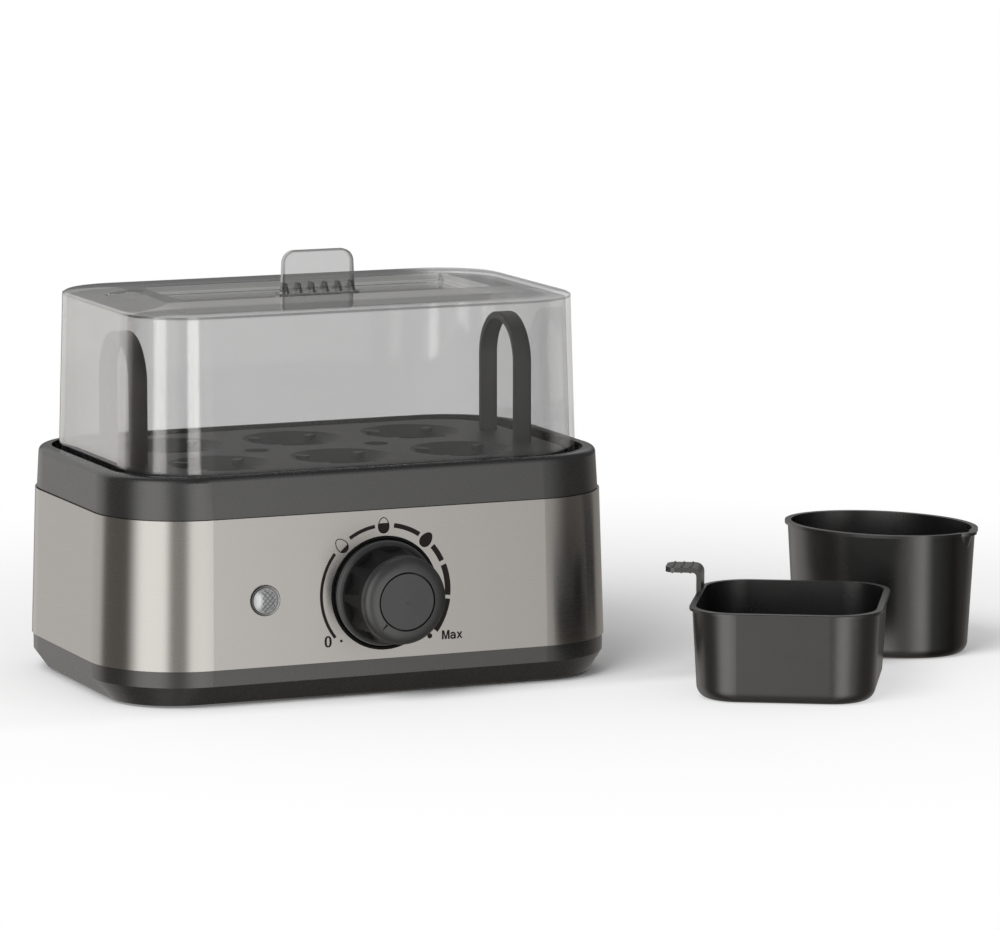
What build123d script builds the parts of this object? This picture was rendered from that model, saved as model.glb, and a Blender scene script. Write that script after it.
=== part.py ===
"""Electric egg cooker with lift-off lid, egg tray, poaching dish and measuring cup.

Millimetres, +Z up. The origin is the centre of the cooker's base on the table, the front panel
faces -Y and +X runs to the right along the front.
"""

import os

from build123d import *

# Body: a rounded rectangle in plan, widest at the steel band's foot
BODY_LENGTH = 210.0
BODY_DEPTH = 136.0
BODY_CORNER = 36.5
BODY_DRAFT_X = 1.9
BODY_DRAFT_Y = 1.2

# Heights of the base above the table, then of the steel band and the collar above it
FOOT_LIFT = 1.0
CHAMFER_TOP = 8.7
SKIRT_TOP = 15.0
BAND_HEIGHT = 57.1
COLLAR_HEIGHT = 16.2
GROOVE_DEPTH = 5.3

# Walls and clearances
SHELL_WALL = 2.4
BAND_SHEET = 0.8
SEAT_GAP = 0.3
SLIDE_GAP = 1.0
RUNNING_GAP = 0.06
PRESS_GAP = 0.1
BLEND = 0.4
PAST = 1.0

# Base shell
SKIRT_INSET = 0.6
CHAMFER_INSET = 6.2
SOLE_CORNER = 26.0
LIP_HEIGHT = 5.0
LIP_WALL = 1.7
RIB_HEIGHT = 7.6
RIB_WALL = 1.6
VENT_LENGTH = 26.0
VENT_WIDTH = 2.4
VENT_PITCH = 7.0
VENT_COUNT = 6

# Housing posts and their screws, placed from the body's corners
POST_INSET = 19.0
POST_RADIUS = 4.2
POST_JOINT_Z = 30.0
SCREW_LAND = 5.0
SCREW_SHANK = 1.4
SCREW_HEAD = 2.9
SCREW_BITE = 14.0
SCREW_HEAD_SHARE = 0.75
DRIVER_SLOT = 0.7

# Rubber feet
FOOT_INSET_X = 39.0
FOOT_INSET_Y = 28.0
FOOT_RADIUS = 7.0
FOOT_SINK = 1.1
STEM_RADIUS = 2.4
BARB_RADIUS = 3.5
BARB_RISE = 2.2

# Collar, with its groove for the lid and its well over the heating pan
COLLAR_INSET_FOOT = 0.7
COLLAR_INSET_TOP = 1.4
COLLAR_EXTRA_Y = 0.6
COLLAR_EDGE = 2.4
COLLAR_WALL = 2.4
LEDGE_THICKNESS = 3.0
SPIGOT_DEPTH = 4.0
SPIGOT_WALL = 1.8
GROOVE_INSET_X = 6.8
GROOVE_INSET_Y = 5.3
GROOVE_CORNER = 29.5
WELL_SHELF = 13.4
WELL_CORNER = 23.0

# Heating pan under the collar's ledge, its seal and its screws
SEAL_THICKNESS = 1.2
SEAL_WIDTH = 2.4
PAN_SHEET = 1.3
PAN_DEPTH = 10.5
PAN_DRAFT = 3.0
PAN_WALL_INSET = 1.8
PAN_CROWN_INSET = 14.0
PAN_CROWN_RISE = 1.2
PAN_SCREW_SHANK = 1.25
PAN_SCREW_HEAD = 2.6
PAN_BOSS_RADIUS = 2.2

# Heating element under the pan, with its beads, clips, thermostat and fuse
ROD_RADIUS = 3.2
LOOP_INSET_X = 26.9
LOOP_INSET_Y = 20.1
LOOP_BEND = 19.0
TAIL_X = 9.0
TAIL_BEND = 6.5
TAIL_DROP = 14.0
BEAD_LENGTH = 4.0
BLADE_WIDTH = 4.8
BLADE_SHEET = 0.8
BLADE_LENGTH = 8.0
CLIP_SHEET = 0.9
CLIP_EAR = 6.5
CLIP_WIDTH = 7.0
THERMOSTAT_RADIUS = 8.2
THERMOSTAT_HEIGHT = 9.0
FUSE_X = -28.0
FUSE_RADIUS = 2.1
FUSE_LENGTH = 15.0

# Terminal block on the base's floor
BLOCK_X = 21.0
BLOCK_Y = 33.0
BLOCK_LENGTH = 26.0
BLOCK_WIDTH = 14.0
BLOCK_HEIGHT = 14.0
BLOCK_PITCH_X = 8.0
BLOCK_PITCH_Y = 7.2
BLOCK_SINK = 5.0
CLAMP_RADIUS = 1.9
CLAMP_HEIGHT = 3.4

# Egg tray
TRAY_THICKNESS = 1.8
TRAY_RISE = 4.1
TRAY_SKIRT_SPREAD = 2.0
SEAT_PITCH_Y = 52.0
SEAT_MOUTH = 20.0
SEAT_THROAT = 14.5
SEAT_DROP = 4.6
SEAT_END_GAP = 4.4
SEAT_PETALS = 4
PETAL_LENGTH = 7.0
PETAL_WIDTH = 3.2
PETAL_RISE = 1.6
STEAM_HOLE = 5.0

# Strap handles of the tray
STRAP_INSET = 8.95
STRAP_WIDTH = 7.0
STRAP_THICKNESS = 3.0
STRAP_SPAN = 37.0
STRAP_HEIGHT = 49.4
STRAP_EDGE = 0.7
PEG_WIDTH = 4.4
PEG_THICKNESS = 1.8

# Lid
LID_GAP_X = 2.65
LID_GAP_Y = 1.25
LID_WALL = 2.0
LID_CORNER = 29.0
LID_FLARE = 2.0
LID_HEIGHT = 64.6
CROWN_RISE = 2.3
SHOULDER_RISE = 0.7
SHOULDER_INSET = 1.2
ROOF_INSET_X = 15.65
ROOF_INSET_Y = 31.05
FACET_RIM_INSET = 2.45
FACET_CREST_INSET = 20.65
RECESS_END_MARGIN = 7.5
RECESS_SIDE_MARGIN = 1.2
RECESS_DEPTH = 3.2
RECESS_SLOPE = 2.4
RECESS_CORNER = 3.6
SLOT_WIDTH = 1.6
SLOT_PLACE_X = -74.3
SLOT_PLACE_Y = 9.0
SLOT_RADII = (4.6, 7.8)
SLOT_HALF_TURN = 62.0

# Lid handle
GRIP_WIDTH = 28.8
GRIP_FLARE = 0.8
GRIP_RISE = 17.8
GRIP_THICKNESS = 2.2
GRIP_CORNER = 5.0
GRIP_CENTRE_X = 0.6
GRIP_FOOT_WIDTH = 33.6
GRIP_FOOT_HEIGHT = 1.4
GRIP_FOOT_ROUND = 0.6
GRIP_PEG = 1.5
GRIP_PEG_REACH = 11.0
GUSSET_COUNT = 6
GUSSET_PITCH = 5.5
GUSSET_REACH = 3.4
GUSSET_RISE = 4.0
GUSSET_WALL = 1.2

# Knob and its recess, both about one axis through the front panel
KNOB_X = 1.2
KNOB_Z = 40.2
RECESS_RING = 21.8
RING_WALL = 0.9
RING_PROUD = 0.1
BEZEL_FLANGE = 25.0
BEZEL_SHEET = 1.5
BEZEL_FLOOR_DEPTH = 3.2
KNOB_SKIRT = 20.3
KNOB_SKIRT_PROUD = 1.2
KNOB_GRIP_FOOT = 18.5
KNOB_GRIP = 17.0
KNOB_REACH = 22.8
KNOB_SINK = 1.9
KNOB_WALL = 2.2
KNOB_WAIST = 4.6
KNOB_BROW = 4.8
HUB_RADIUS = 5.6
CAP_RADIUS = 11.0
CAP_THICKNESS = 1.6
CAP_CROWN = 0.6
CAP_RING_GAP = 0.35
CAP_PEG = 2.0
FLUTE_COUNT = 10
FLUTE_RADIUS = 7.5
FLUTE_DEPTH = 0.5
FLUTE_MARGIN = 2.0
POINTER_ANGLE = 225.0
POINTER_LENGTH = 4.8
POINTER_WIDTH = 0.9
SPRING_SHEET = 0.7
SPRING_WIDTH = 3.0
SPRING_SPLIT = 1.6

# Rotary control behind the recess, and its shaft
CONTROL_SETBACK = 6.0
CONTROL_PLATE = 1.5
CONTROL_PLATE_WIDTH = 46.0
CONTROL_PLATE_HEIGHT = 18.0
CONTROL_CASE_WIDTH = 28.0
CONTROL_CASE_HEIGHT = 34.0
CONTROL_CASE_DEPTH = 9.0
CONTROL_MOTOR_RADIUS = 11.0
CONTROL_DEPTH = 32.0
CONTROL_SCREW_X = 18.0
CONTROL_SCREW_SHANK = 1.2
CONTROL_SCREW_HEAD = 2.7
CONTROL_BOSS = 3.0
BUSH_RADIUS = 4.8
BUSH_LENGTH = 3.3
SHAFT_RADIUS = 3.0
SHAFT_FLAT = 0.8
SHAFT_TAIL = 20.0
SHAFT_ENTRY = 15.5

# Lamp
LAMP_X = -47.5
LAMP_Z = 40.4
LAMP_BEZEL = 5.9
LAMP_BEZEL_PROUD = 0.9
LAMP_BARREL = 5.55
LAMP_BARREL_DEPTH = 11.0
LAMP_LENS = 4.95
LENS_RISE = 1.3
LENS_WALL = 1.0
BULB_RADIUS = 2.2
BULB_DEPTH = 10.4
WASHER_RADIUS = 8.0
WASHER_SHEET = 1.0

# Cord gland at the back
GLAND_X = 55.0
GLAND_Z = 21.0
GLAND_BORE = 3.3
GLAND_NECK = 5.0
GLAND_FLANGE = 2.0
GLAND_HEAD = 2.4
TONGUE_WIDTH = 18.0
TONGUE_TOP = 29.6

# Poaching dish, placed beside the cooker
DISH_X = 151.8
DISH_Y = -110.5
DISH_TURN = -30.1
DISH_HALF_X = 37.0
DISH_HALF_Y = 41.1
DISH_CORNER = 19.4
DISH_HEIGHT = 35.1
DISH_WALL = 1.4
DISH_INSET = 3.1
DISH_EDGE = 5.0
RIM_REACH = 1.1
RIM_HEIGHT = 1.2
RIM_EDGE = 0.4
TAB_CENTRE_Y = 14.0
TAB_WIDTH = 14.5
TAB_THICKNESS = 1.9
TAB_REACH = 12.2
TAB_RISE = 9.5
TAB_BEND = 3.4
TAB_TIP = 3.6
TAB_RIB = 0.45
TAB_RIB_START = 2.4
TAB_RIB_PITCH = 3.5
TAB_RIB_COUNT = 3

# Measuring cup, placed behind the dish
CUP_X = 223.3
CUP_Y = -45.0
CUP_TURN = -57.0
CUP_HALF_LONG = 40.8
CUP_HALF_WIDE = 30.3
CUP_HEIGHT = 50.1
CUP_WALL = 1.4
CUP_FLOOR = 3.4
CUP_INSET = 4.0
CUP_EDGE = 4.8
SPOUT_REACH = 1.8
SPOUT_FALL = 12.0
SPOUT_TOP = 6.5
SPOUT_FOOT = 2.0
SPOUT_START = 4.2
PIN_RADIUS = 0.6
PIN_LENGTH = 2.5
PIN_POINT = 1.0
PIN_WELL = 9.0
PIN_WELL_DEPTH = 1.8


def inset(plan, distance, corner=None):
    """Return a plan (half x, half y, corner radius) drawn in by a distance."""
    radius = plan[2] - distance if corner is None else corner
    return (plan[0] - distance, plan[1] - distance, radius)


def face_at(plan, z):
    """Return the rounded rectangle of a plan as a face at a height."""
    return Pos(0, 0, z) * RectangleRounded(2 * plan[0], 2 * plan[1], plan[2])


def tapered(lower, z_low, upper, z_high):
    """Return the solid between two plans at two heights."""
    return loft([face_at(lower, z_low), face_at(upper, z_high)], ruled=True)


def prism(plan, z_low, z_high):
    """Return the straight solid of a plan between two heights."""
    return extrude(face_at(plan, z_low), z_high - z_low)


def rod(x, y, z_low, z_high, radius):
    """Return an upright cylinder between two heights."""
    height = z_high - z_low
    return Pos(x, y, z_low + height / 2) * Cylinder(radius, height)


def spun(points):
    """Return the solid that a closed outline of (radius, height) points sweeps about Z."""
    outline = Polyline(*[(r, 0, z) for r, z in points], close=True)
    return revolve(make_face(outline), Axis.Z)


def facing_front(x, z):
    """Return the frame whose local Z points out of the front panel from the plane Y = 0."""
    return Pos(x, 0, z) * Rot(90, 0, 0)


def four_ways(x, y):
    """Return the four mirrored places of one place."""
    return [(x, y), (-x, y), (-x, -y), (x, -y)]


# Body plans and the heights stacked on the base
BAND_TOP = SKIRT_TOP + BAND_HEIGHT
COLLAR_FOOT = BAND_TOP + SEAT_GAP
COLLAR_TOP = BAND_TOP + COLLAR_HEIGHT
LEDGE_Z = COLLAR_TOP - GROOVE_DEPTH
LEDGE_UNDER = LEDGE_Z - LEDGE_THICKNESS
BAND_FOOT = (BODY_LENGTH / 2, BODY_DEPTH / 2, BODY_CORNER)
BAND_HEAD = (BAND_FOOT[0] - BODY_DRAFT_X, BAND_FOOT[1] - BODY_DRAFT_Y, BODY_CORNER - BODY_DRAFT_Y)
BAND_INSIDE_FOOT = inset(BAND_FOOT, BAND_SHEET)
BAND_INSIDE_HEAD = inset(BAND_HEAD, BAND_SHEET)


def panel_reach(z):
    """Return how far the front panel lies from the plane Y = 0 at a height."""
    share = (z - SKIRT_TOP) / BAND_HEIGHT
    return BAND_FOOT[1] + (BAND_HEAD[1] - BAND_FOOT[1]) * share


# Base and what stands in it
SKIRT = inset(BAND_FOOT, SKIRT_INSET)
SOLE = inset(SKIRT, CHAMFER_INSET, SOLE_CORNER)
LIP = inset(BAND_INSIDE_FOOT, SEAT_GAP + PRESS_GAP)
FLOOR_TOP = FOOT_LIFT + SHELL_WALL
POST_X = BAND_FOOT[0] - POST_INSET
POST_Y = BAND_FOOT[1] - POST_INSET
FOOT_X = BAND_FOOT[0] - FOOT_INSET_X
FOOT_Y = BAND_FOOT[1] - FOOT_INSET_Y
SCREW_SEAT_Z = POST_JOINT_Z - SCREW_LAND

# Collar, pan and element
SPIGOT = inset(BAND_INSIDE_HEAD, SEAT_GAP)
GROOVE = (BAND_HEAD[0] - GROOVE_INSET_X, BAND_HEAD[1] - GROOVE_INSET_Y, GROOVE_CORNER)
WELL = inset(GROOVE, WELL_SHELF, WELL_CORNER)
FLANGE_TOP = LEDGE_UNDER - SEAL_THICKNESS
FLANGE_UNDER = FLANGE_TOP - PAN_SHEET
SCREW_LINE = SEAL_WIDTH + PAN_BOSS_RADIUS + 2 * SEAT_GAP
PAN_FLANGE = inset(WELL, -SCREW_LINE - PAN_SCREW_HEAD)
PAN_FLOOR_TOP = FLANGE_TOP - PAN_DEPTH
PAN_FLOOR_UNDER = PAN_FLOOR_TOP - PAN_SHEET
PAN_MOUTH = inset(WELL, PAN_WALL_INSET)
PAN_FLOOR = inset(PAN_MOUTH, PAN_DRAFT)
ROD_Z = PAN_FLOOR_UNDER - SEAT_GAP - ROD_RADIUS
LOOP_X = WELL[0] - LOOP_INSET_X
LOOP_Y = WELL[1] - LOOP_INSET_Y
TAIL_END = ROD_Z - TAIL_DROP

# Lid, handle and tray, all placed from the groove
LID_FOOT_Z = LEDGE_Z + SEAT_GAP
LID_FOOT = (GROOVE[0] - LID_GAP_X, GROOVE[1] - LID_GAP_Y, LID_CORNER)
LID_HEAD = inset(LID_FOOT, LID_FLARE)
LID_EDGE_Z = LEDGE_Z + SEAT_GAP + LID_HEIGHT
LID_CREST_Z = LID_EDGE_Z + CROWN_RISE
RECESS = (
    LID_HEAD[0] - FACET_CREST_INSET - RECESS_END_MARGIN,
    LID_HEAD[1] - ROOF_INSET_Y - RECESS_SIDE_MARGIN,
    RECESS_CORNER,
)
RECESS_FLOOR_Z = LID_CREST_Z - RECESS_DEPTH
GRIP_TOP = RECESS_FLOOR_Z + GRIP_RISE
TRAY_FOOT_Z = LEDGE_Z + SEAT_GAP
TRAY_TOP = TRAY_FOOT_Z + TRAY_RISE
DECK_UNDER = TRAY_TOP - TRAY_THICKNESS
TRAY_FOOT = inset(LID_FOOT, LID_WALL + SLIDE_GAP)
TRAY_HEAD = inset(TRAY_FOOT, TRAY_SKIRT_SPREAD)
STRAP_X = TRAY_HEAD[0] - STRAP_INSET
LEG_Y = STRAP_SPAN / 2 - STRAP_THICKNESS / 2
SEAT_RIM = SEAT_MOUTH + TRAY_THICKNESS
SEAT_PITCH_X = STRAP_X - STRAP_WIDTH / 2 - SEAT_END_GAP - SEAT_RIM

# Depths behind and in front of the panel, as distances from the plane Y = 0
PANEL_AT_KNOB = panel_reach(KNOB_Z)
PANEL_AT_LAMP = panel_reach(LAMP_Z)
BEZEL_FLOOR = PANEL_AT_KNOB - BEZEL_FLOOR_DEPTH
BEZEL_BACK = BEZEL_FLOOR - BEZEL_SHEET
CONTROL_FRONT = PANEL_AT_KNOB - CONTROL_SETBACK
CONTROL_BACK = CONTROL_FRONT - CONTROL_PLATE
KNOB_BACK = PANEL_AT_KNOB - KNOB_SINK
KNOB_FRONT = PANEL_AT_KNOB + KNOB_REACH
CAP_SEAT = KNOB_FRONT - CAP_THICKNESS - CAP_CROWN / 3
KNOB_ROOF = CAP_SEAT - KNOB_WALL
SHAFT_FRONT = PANEL_AT_KNOB + SHAFT_ENTRY
FLAT_FROM = PANEL_AT_KNOB - 1.0
LAMP_BACK = PANEL_AT_LAMP - LAMP_BARREL_DEPTH


def base_shell():
    """Moulded black base: chamfered sole, skirt, lip, posts, foot pockets, vents and tongue."""
    body = tapered(SOLE, FOOT_LIFT, SKIRT, CHAMFER_TOP)
    body += prism(SKIRT, CHAMFER_TOP, SKIRT_TOP)
    body += prism(LIP, SKIRT_TOP, SKIRT_TOP + LIP_HEIGHT)
    room = inset(LIP, LIP_WALL)
    low_room = (room[0] - CHAMFER_INSET, room[1] - CHAMFER_INSET, SOLE_CORNER - LIP_WALL)
    body -= tapered(low_room, FLOOR_TOP, room, CHAMFER_TOP)
    body -= prism(room, CHAMFER_TOP, SKIRT_TOP + LIP_HEIGHT)
    for x, y in four_ways(POST_X, POST_Y):
        body += rod(x, y, FLOOR_TOP - BLEND, POST_JOINT_Z - SEAT_GAP, POST_RADIUS)
    for x, y in four_ways(FOOT_X, FOOT_Y):
        body += rod(x, y, FLOOR_TOP - BLEND, FLOOR_TOP + FOOT_SINK, FOOT_RADIUS + SHELL_WALL)
    rib = Box(2 * POST_X, RIB_WALL, RIB_HEIGHT + BLEND)
    for y in (-POST_Y, POST_Y):
        body += Pos(0, y, FLOOR_TOP + (RIB_HEIGHT - BLEND) / 2) * rib
    tongue_rise = TONGUE_TOP - CHAMFER_TOP
    tongue = Box(TONGUE_WIDTH, SHELL_WALL, tongue_rise)
    body += Pos(GLAND_X, SKIRT[1] - SHELL_WALL / 2, CHAMFER_TOP + tongue_rise / 2) * tongue
    for x, y in four_ways(POST_X, POST_Y):
        body -= rod(x, y, 0, SCREW_SEAT_Z, SCREW_HEAD + BLEND)
        body -= rod(x, y, 0, POST_JOINT_Z, SCREW_SHANK + SEAT_GAP)
    for x, y in four_ways(FOOT_X, FOOT_Y):
        body -= rod(x, y, 0, FOOT_LIFT + FOOT_SINK, FOOT_RADIUS + SEAT_GAP)
        body -= rod(x, y, 0, FLOOR_TOP + FOOT_SINK + PAST, STEM_RADIUS + PRESS_GAP)
    for k in range(VENT_COUNT):
        x = (k - (VENT_COUNT - 1) / 2) * VENT_PITCH
        slot = Pos(x, 0, FOOT_LIFT) * SlotOverall(VENT_LENGTH, VENT_WIDTH, rotation=90)
        body -= extrude(slot, SHELL_WALL)
    through_tongue = rod(0, 0, -SKIRT[1] - PAST, -SKIRT[1] + 3 * SHELL_WALL, GLAND_NECK + PRESS_GAP)
    body -= facing_front(GLAND_X, GLAND_Z) * through_tongue
    relief = rod(0, 0, BEZEL_BACK - PAST, BAND_FOOT[1] + PAST, BEZEL_FLANGE + SEAT_GAP)
    relief = facing_front(KNOB_X, KNOB_Z) * relief
    body -= relief & prism(LIP, SKIRT_TOP, SKIRT_TOP + LIP_HEIGHT)
    return body


def rubber_feet():
    """Four rubber feet, each with a stem and barb through the base's floor."""
    edge = 0.8
    pocket_top = FOOT_LIFT + FOOT_SINK
    barb_foot = FLOOR_TOP + FOOT_SINK + SEAT_GAP
    outline = [
        (0, 0),
        (FOOT_RADIUS - edge, 0),
        (FOOT_RADIUS, edge),
        (FOOT_RADIUS, pocket_top),
        (STEM_RADIUS, pocket_top),
        (STEM_RADIUS, barb_foot),
        (BARB_RADIUS, barb_foot),
        (STEM_RADIUS - PRESS_GAP, barb_foot + BARB_RISE),
        (0, barb_foot + BARB_RISE),
    ]
    foot = spun(outline)
    return Compound(children=[Pos(x, y, 0) * foot for x, y in four_ways(FOOT_X, FOOT_Y)])


def pan_head_screw(seat_z, length, shank, head):
    """Return an upright screw whose bevelled head hangs under a seat."""
    depth = head * SCREW_HEAD_SHARE
    return spun(
        [
            (0, seat_z - depth),
            (head - depth / 3, seat_z - depth),
            (head, seat_z - depth * 2 / 3),
            (head, seat_z),
            (shank, seat_z),
            (shank, seat_z + length - shank),
            (0, seat_z + length),
        ]
    )


def base_screws():
    """Four long screws that pull the base and the collar together."""
    screw = pan_head_screw(SCREW_SEAT_Z, SCREW_BITE, SCREW_SHANK, SCREW_HEAD)
    return Compound(children=[Pos(x, y, 0) * screw for x, y in four_ways(POST_X, POST_Y)])


def steel_band():
    """Brushed steel sleeve with the knob and lamp holes and a notch over the cord gland."""
    band = tapered(BAND_FOOT, SKIRT_TOP, BAND_HEAD, BAND_TOP)
    band -= tapered(BAND_INSIDE_FOOT, SKIRT_TOP, BAND_INSIDE_HEAD, BAND_TOP)
    front_low = panel_reach(BAND_TOP) - 2 * SHELL_WALL
    front_high = BAND_FOOT[1] + PAST
    knob_hole = rod(0, 0, front_low, front_high, RECESS_RING + PRESS_GAP)
    band -= facing_front(KNOB_X, KNOB_Z) * knob_hole
    lamp_hole = rod(0, 0, front_low, front_high, LAMP_BARREL + 2 * PRESS_GAP)
    band -= facing_front(LAMP_X, LAMP_Z) * lamp_hole
    notch_rise = TONGUE_TOP - SKIRT_TOP + SEAT_GAP
    notch = Box(TONGUE_WIDTH + 2 * SEAT_GAP, 4 * SHELL_WALL, 2 * notch_rise)
    band -= Pos(GLAND_X, BAND_FOOT[1], SKIRT_TOP) * notch
    return band


def collar_plan(share):
    """Return the collar's outer plan, from its foot (0) to its shoulder (1)."""
    distance = COLLAR_INSET_FOOT + (COLLAR_INSET_TOP - COLLAR_INSET_FOOT) * share
    plan = inset(BAND_HEAD, distance)
    return (plan[0], plan[1] - COLLAR_EXTRA_Y * share, plan[2])


def pan_screw_places():
    """Return where the pan's flange is screwed to the collar."""
    x_end = WELL[0] + SCREW_LINE
    y_side = WELL[1] + SCREW_LINE
    return [(x_end, 0), (-x_end, 0)] + four_ways(WELL[0] / 2, y_side)


def top_collar():
    """Moulded collar: outer wall, rounded rim, lid groove, ledge, spigot and four posts."""
    body = tapered(collar_plan(0), COLLAR_FOOT, collar_plan(1), COLLAR_TOP)
    rim_edges = body.edges().group_by(Axis.Z)[-1]
    body = fillet(rim_edges, COLLAR_EDGE)
    body -= prism(GROOVE, LEDGE_Z, COLLAR_TOP + PAST)
    body -= prism(WELL, COLLAR_FOOT, LEDGE_Z + PAST)
    body -= prism(inset(collar_plan(0), COLLAR_WALL), COLLAR_FOOT - PAST, LEDGE_UNDER)
    spigot_foot = COLLAR_FOOT - SPIGOT_DEPTH
    spigot = prism(SPIGOT, spigot_foot, COLLAR_FOOT + COLLAR_WALL / 2)
    spigot -= prism(inset(SPIGOT, SPIGOT_WALL), spigot_foot - PAST, COLLAR_FOOT + COLLAR_WALL)
    body += spigot
    for x, y in four_ways(POST_X, POST_Y):
        body += rod(x, y, POST_JOINT_Z, LEDGE_UNDER + BLEND, POST_RADIUS)
        body -= rod(x, y, POST_JOINT_Z - PAST, POST_JOINT_Z + SCREW_BITE, SCREW_SHANK + PRESS_GAP)
    for x, y in pan_screw_places():
        body += rod(x, y, FLANGE_TOP, LEDGE_UNDER + BLEND, PAN_BOSS_RADIUS)
        bore_top = LEDGE_UNDER + LEDGE_THICKNESS * 0.8
        body -= rod(x, y, FLANGE_TOP - PAST, bore_top, PAN_SCREW_SHANK + PRESS_GAP)
    return body


def heating_pan():
    """Pressed water pan: flange notched round the posts, drafted wall, floor with a crown."""
    pan = prism(PAN_FLANGE, FLANGE_UNDER, FLANGE_TOP)
    outer_mouth = inset(PAN_MOUTH, -PAN_SHEET)
    outer_floor = inset(PAN_FLOOR, -PAN_SHEET)
    pan += tapered(outer_floor, PAN_FLOOR_UNDER, outer_mouth, FLANGE_UNDER + BLEND)
    pan -= tapered(PAN_FLOOR, PAN_FLOOR_TOP, PAN_MOUTH, FLANGE_TOP)
    crown_foot = inset(PAN_FLOOR, PAN_CROWN_INSET, WELL_CORNER / 3)
    crown_head = inset(crown_foot, PAN_CROWN_RISE)
    crown_z = PAN_FLOOR_TOP + PAN_CROWN_RISE
    pan += tapered(crown_foot, PAN_FLOOR_TOP - BLEND / 2, crown_head, crown_z)
    for x, y in pan_screw_places():
        pan -= rod(x, y, FLANGE_UNDER - PAST, FLANGE_TOP + PAST, PAN_SCREW_SHANK + SEAT_GAP)
    for x, y in four_ways(POST_X, POST_Y):
        pan -= rod(x, y, FLANGE_UNDER - PAST, FLANGE_TOP + PAST, POST_RADIUS + SEAT_GAP)
    return pan


def pan_seal():
    """Silicone ring squeezed between the pan's flange and the collar's ledge."""
    outer = prism(inset(WELL, -SEAL_WIDTH - SEAT_GAP), FLANGE_TOP, LEDGE_UNDER)
    inner = prism(inset(WELL, -SEAT_GAP), FLANGE_TOP - PAST, LEDGE_UNDER + PAST)
    return outer - inner


def pan_screws():
    """Six short screws through the pan's flange."""
    length = LEDGE_UNDER + LEDGE_THICKNESS * 0.6 - FLANGE_UNDER
    screw = pan_head_screw(FLANGE_UNDER, length, PAN_SCREW_SHANK, PAN_SCREW_HEAD)
    return Compound(children=[Pos(x, y, 0) * screw for x, y in pan_screw_places()])


def loop_path():
    """Return the heating rod's centre line: a ring under the pan with two tails down."""
    points = [
        (-TAIL_X, LOOP_Y, TAIL_END),
        (-TAIL_X, LOOP_Y, ROD_Z),
        (-LOOP_X, LOOP_Y, ROD_Z),
        (-LOOP_X, -LOOP_Y, ROD_Z),
        (LOOP_X, -LOOP_Y, ROD_Z),
        (LOOP_X, LOOP_Y, ROD_Z),
        (TAIL_X, LOOP_Y, ROD_Z),
        (TAIL_X, LOOP_Y, TAIL_END),
    ]
    radii = [TAIL_BEND] + [LOOP_BEND] * 4 + [TAIL_BEND]
    return FilletPolyline(*points, radius=radii)


def heating_element():
    """Sheathed heating rod bent into a ring."""
    path = loop_path()
    section = Plane(origin=path @ 0, z_dir=path % 0) * Circle(ROD_RADIUS)
    return sweep(section, path=path)


def element_terminals():
    """Ceramic beads and flat pins on the heating rod's two tails."""
    bead = rod(0, 0, TAIL_END - BEAD_LENGTH, TAIL_END, ROD_RADIUS + BLEND)
    pin = Pos(0, 0, TAIL_END - BEAD_LENGTH) * Box(BLADE_SHEET, BLADE_WIDTH, BLADE_LENGTH)
    terminal = bead + pin
    return Compound(children=[Pos(x, LOOP_Y, 0) * terminal for x in (-TAIL_X, TAIL_X)])


def element_clips():
    """Four saddles that hold the heating rod to the underside of the pan."""
    inner = ROD_RADIUS + 2 * PRESS_GAP
    outer = inner + CLIP_SHEET
    height = PAN_FLOOR_UNDER - ROD_Z
    section = Circle(outer) + Pos(0, height / 2) * Rectangle(2 * outer, height)
    ears = Rectangle(2 * (outer + CLIP_EAR), CLIP_SHEET)
    section += Pos(0, height - CLIP_SHEET / 2) * ears
    slot = Pos(0, height / 2 + PAST / 2) * Rectangle(2 * inner, height + PAST)
    section -= Circle(inner) + slot
    saddle = Rot(90, 0, 0) * extrude(section, CLIP_WIDTH / 2, both=True)
    along = Rot(0, 0, 90) * saddle
    clips = [Pos(x, 0, ROD_Z) * saddle for x in (-LOOP_X, LOOP_X)]
    clips += [Pos(x, -LOOP_Y, ROD_Z) * along for x in (-LOOP_X / 3, LOOP_X / 3)]
    return Compound(children=clips)


def limit_thermostat():
    """Disc thermostat under the pan's centre with two blade terminals."""
    top = PAN_FLOOR_UNDER - SEAT_GAP
    foot = top - THERMOSTAT_HEIGHT
    disc = 2.0
    case_radius = THERMOSTAT_RADIUS - 0.8
    body = rod(0, 0, top - disc, top, THERMOSTAT_RADIUS)
    body += rod(0, 0, foot, top - disc + BLEND, case_radius)
    for side in (-1, 1):
        blade = Box(BLADE_LENGTH, BLADE_WIDTH, BLADE_SHEET)
        body += Pos(side * (case_radius + BLADE_LENGTH / 4), 0, foot + disc) * blade
    return body


def thermal_fuse():
    """Thermal fuse pressed to the pan beside the thermostat, with a lead at each end."""
    axis_z = PAN_FLOOR_UNDER - SEAT_GAP - FUSE_RADIUS
    lead_radius = 0.5
    lead = 2 * FUSE_RADIUS
    case = Cylinder(FUSE_RADIUS, FUSE_LENGTH) + Cylinder(lead_radius, FUSE_LENGTH + 2 * lead)
    return Pos(FUSE_X, 0, axis_z) * Rot(90, 0, 0) * case


def clamp_places():
    """Return the six places of the terminal block's clamping screws."""
    rows = (-BLOCK_PITCH_Y / 2, BLOCK_PITCH_Y / 2)
    return [(BLOCK_X + k * BLOCK_PITCH_X, BLOCK_Y + y) for k in (-1, 0, 1) for y in rows]


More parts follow.
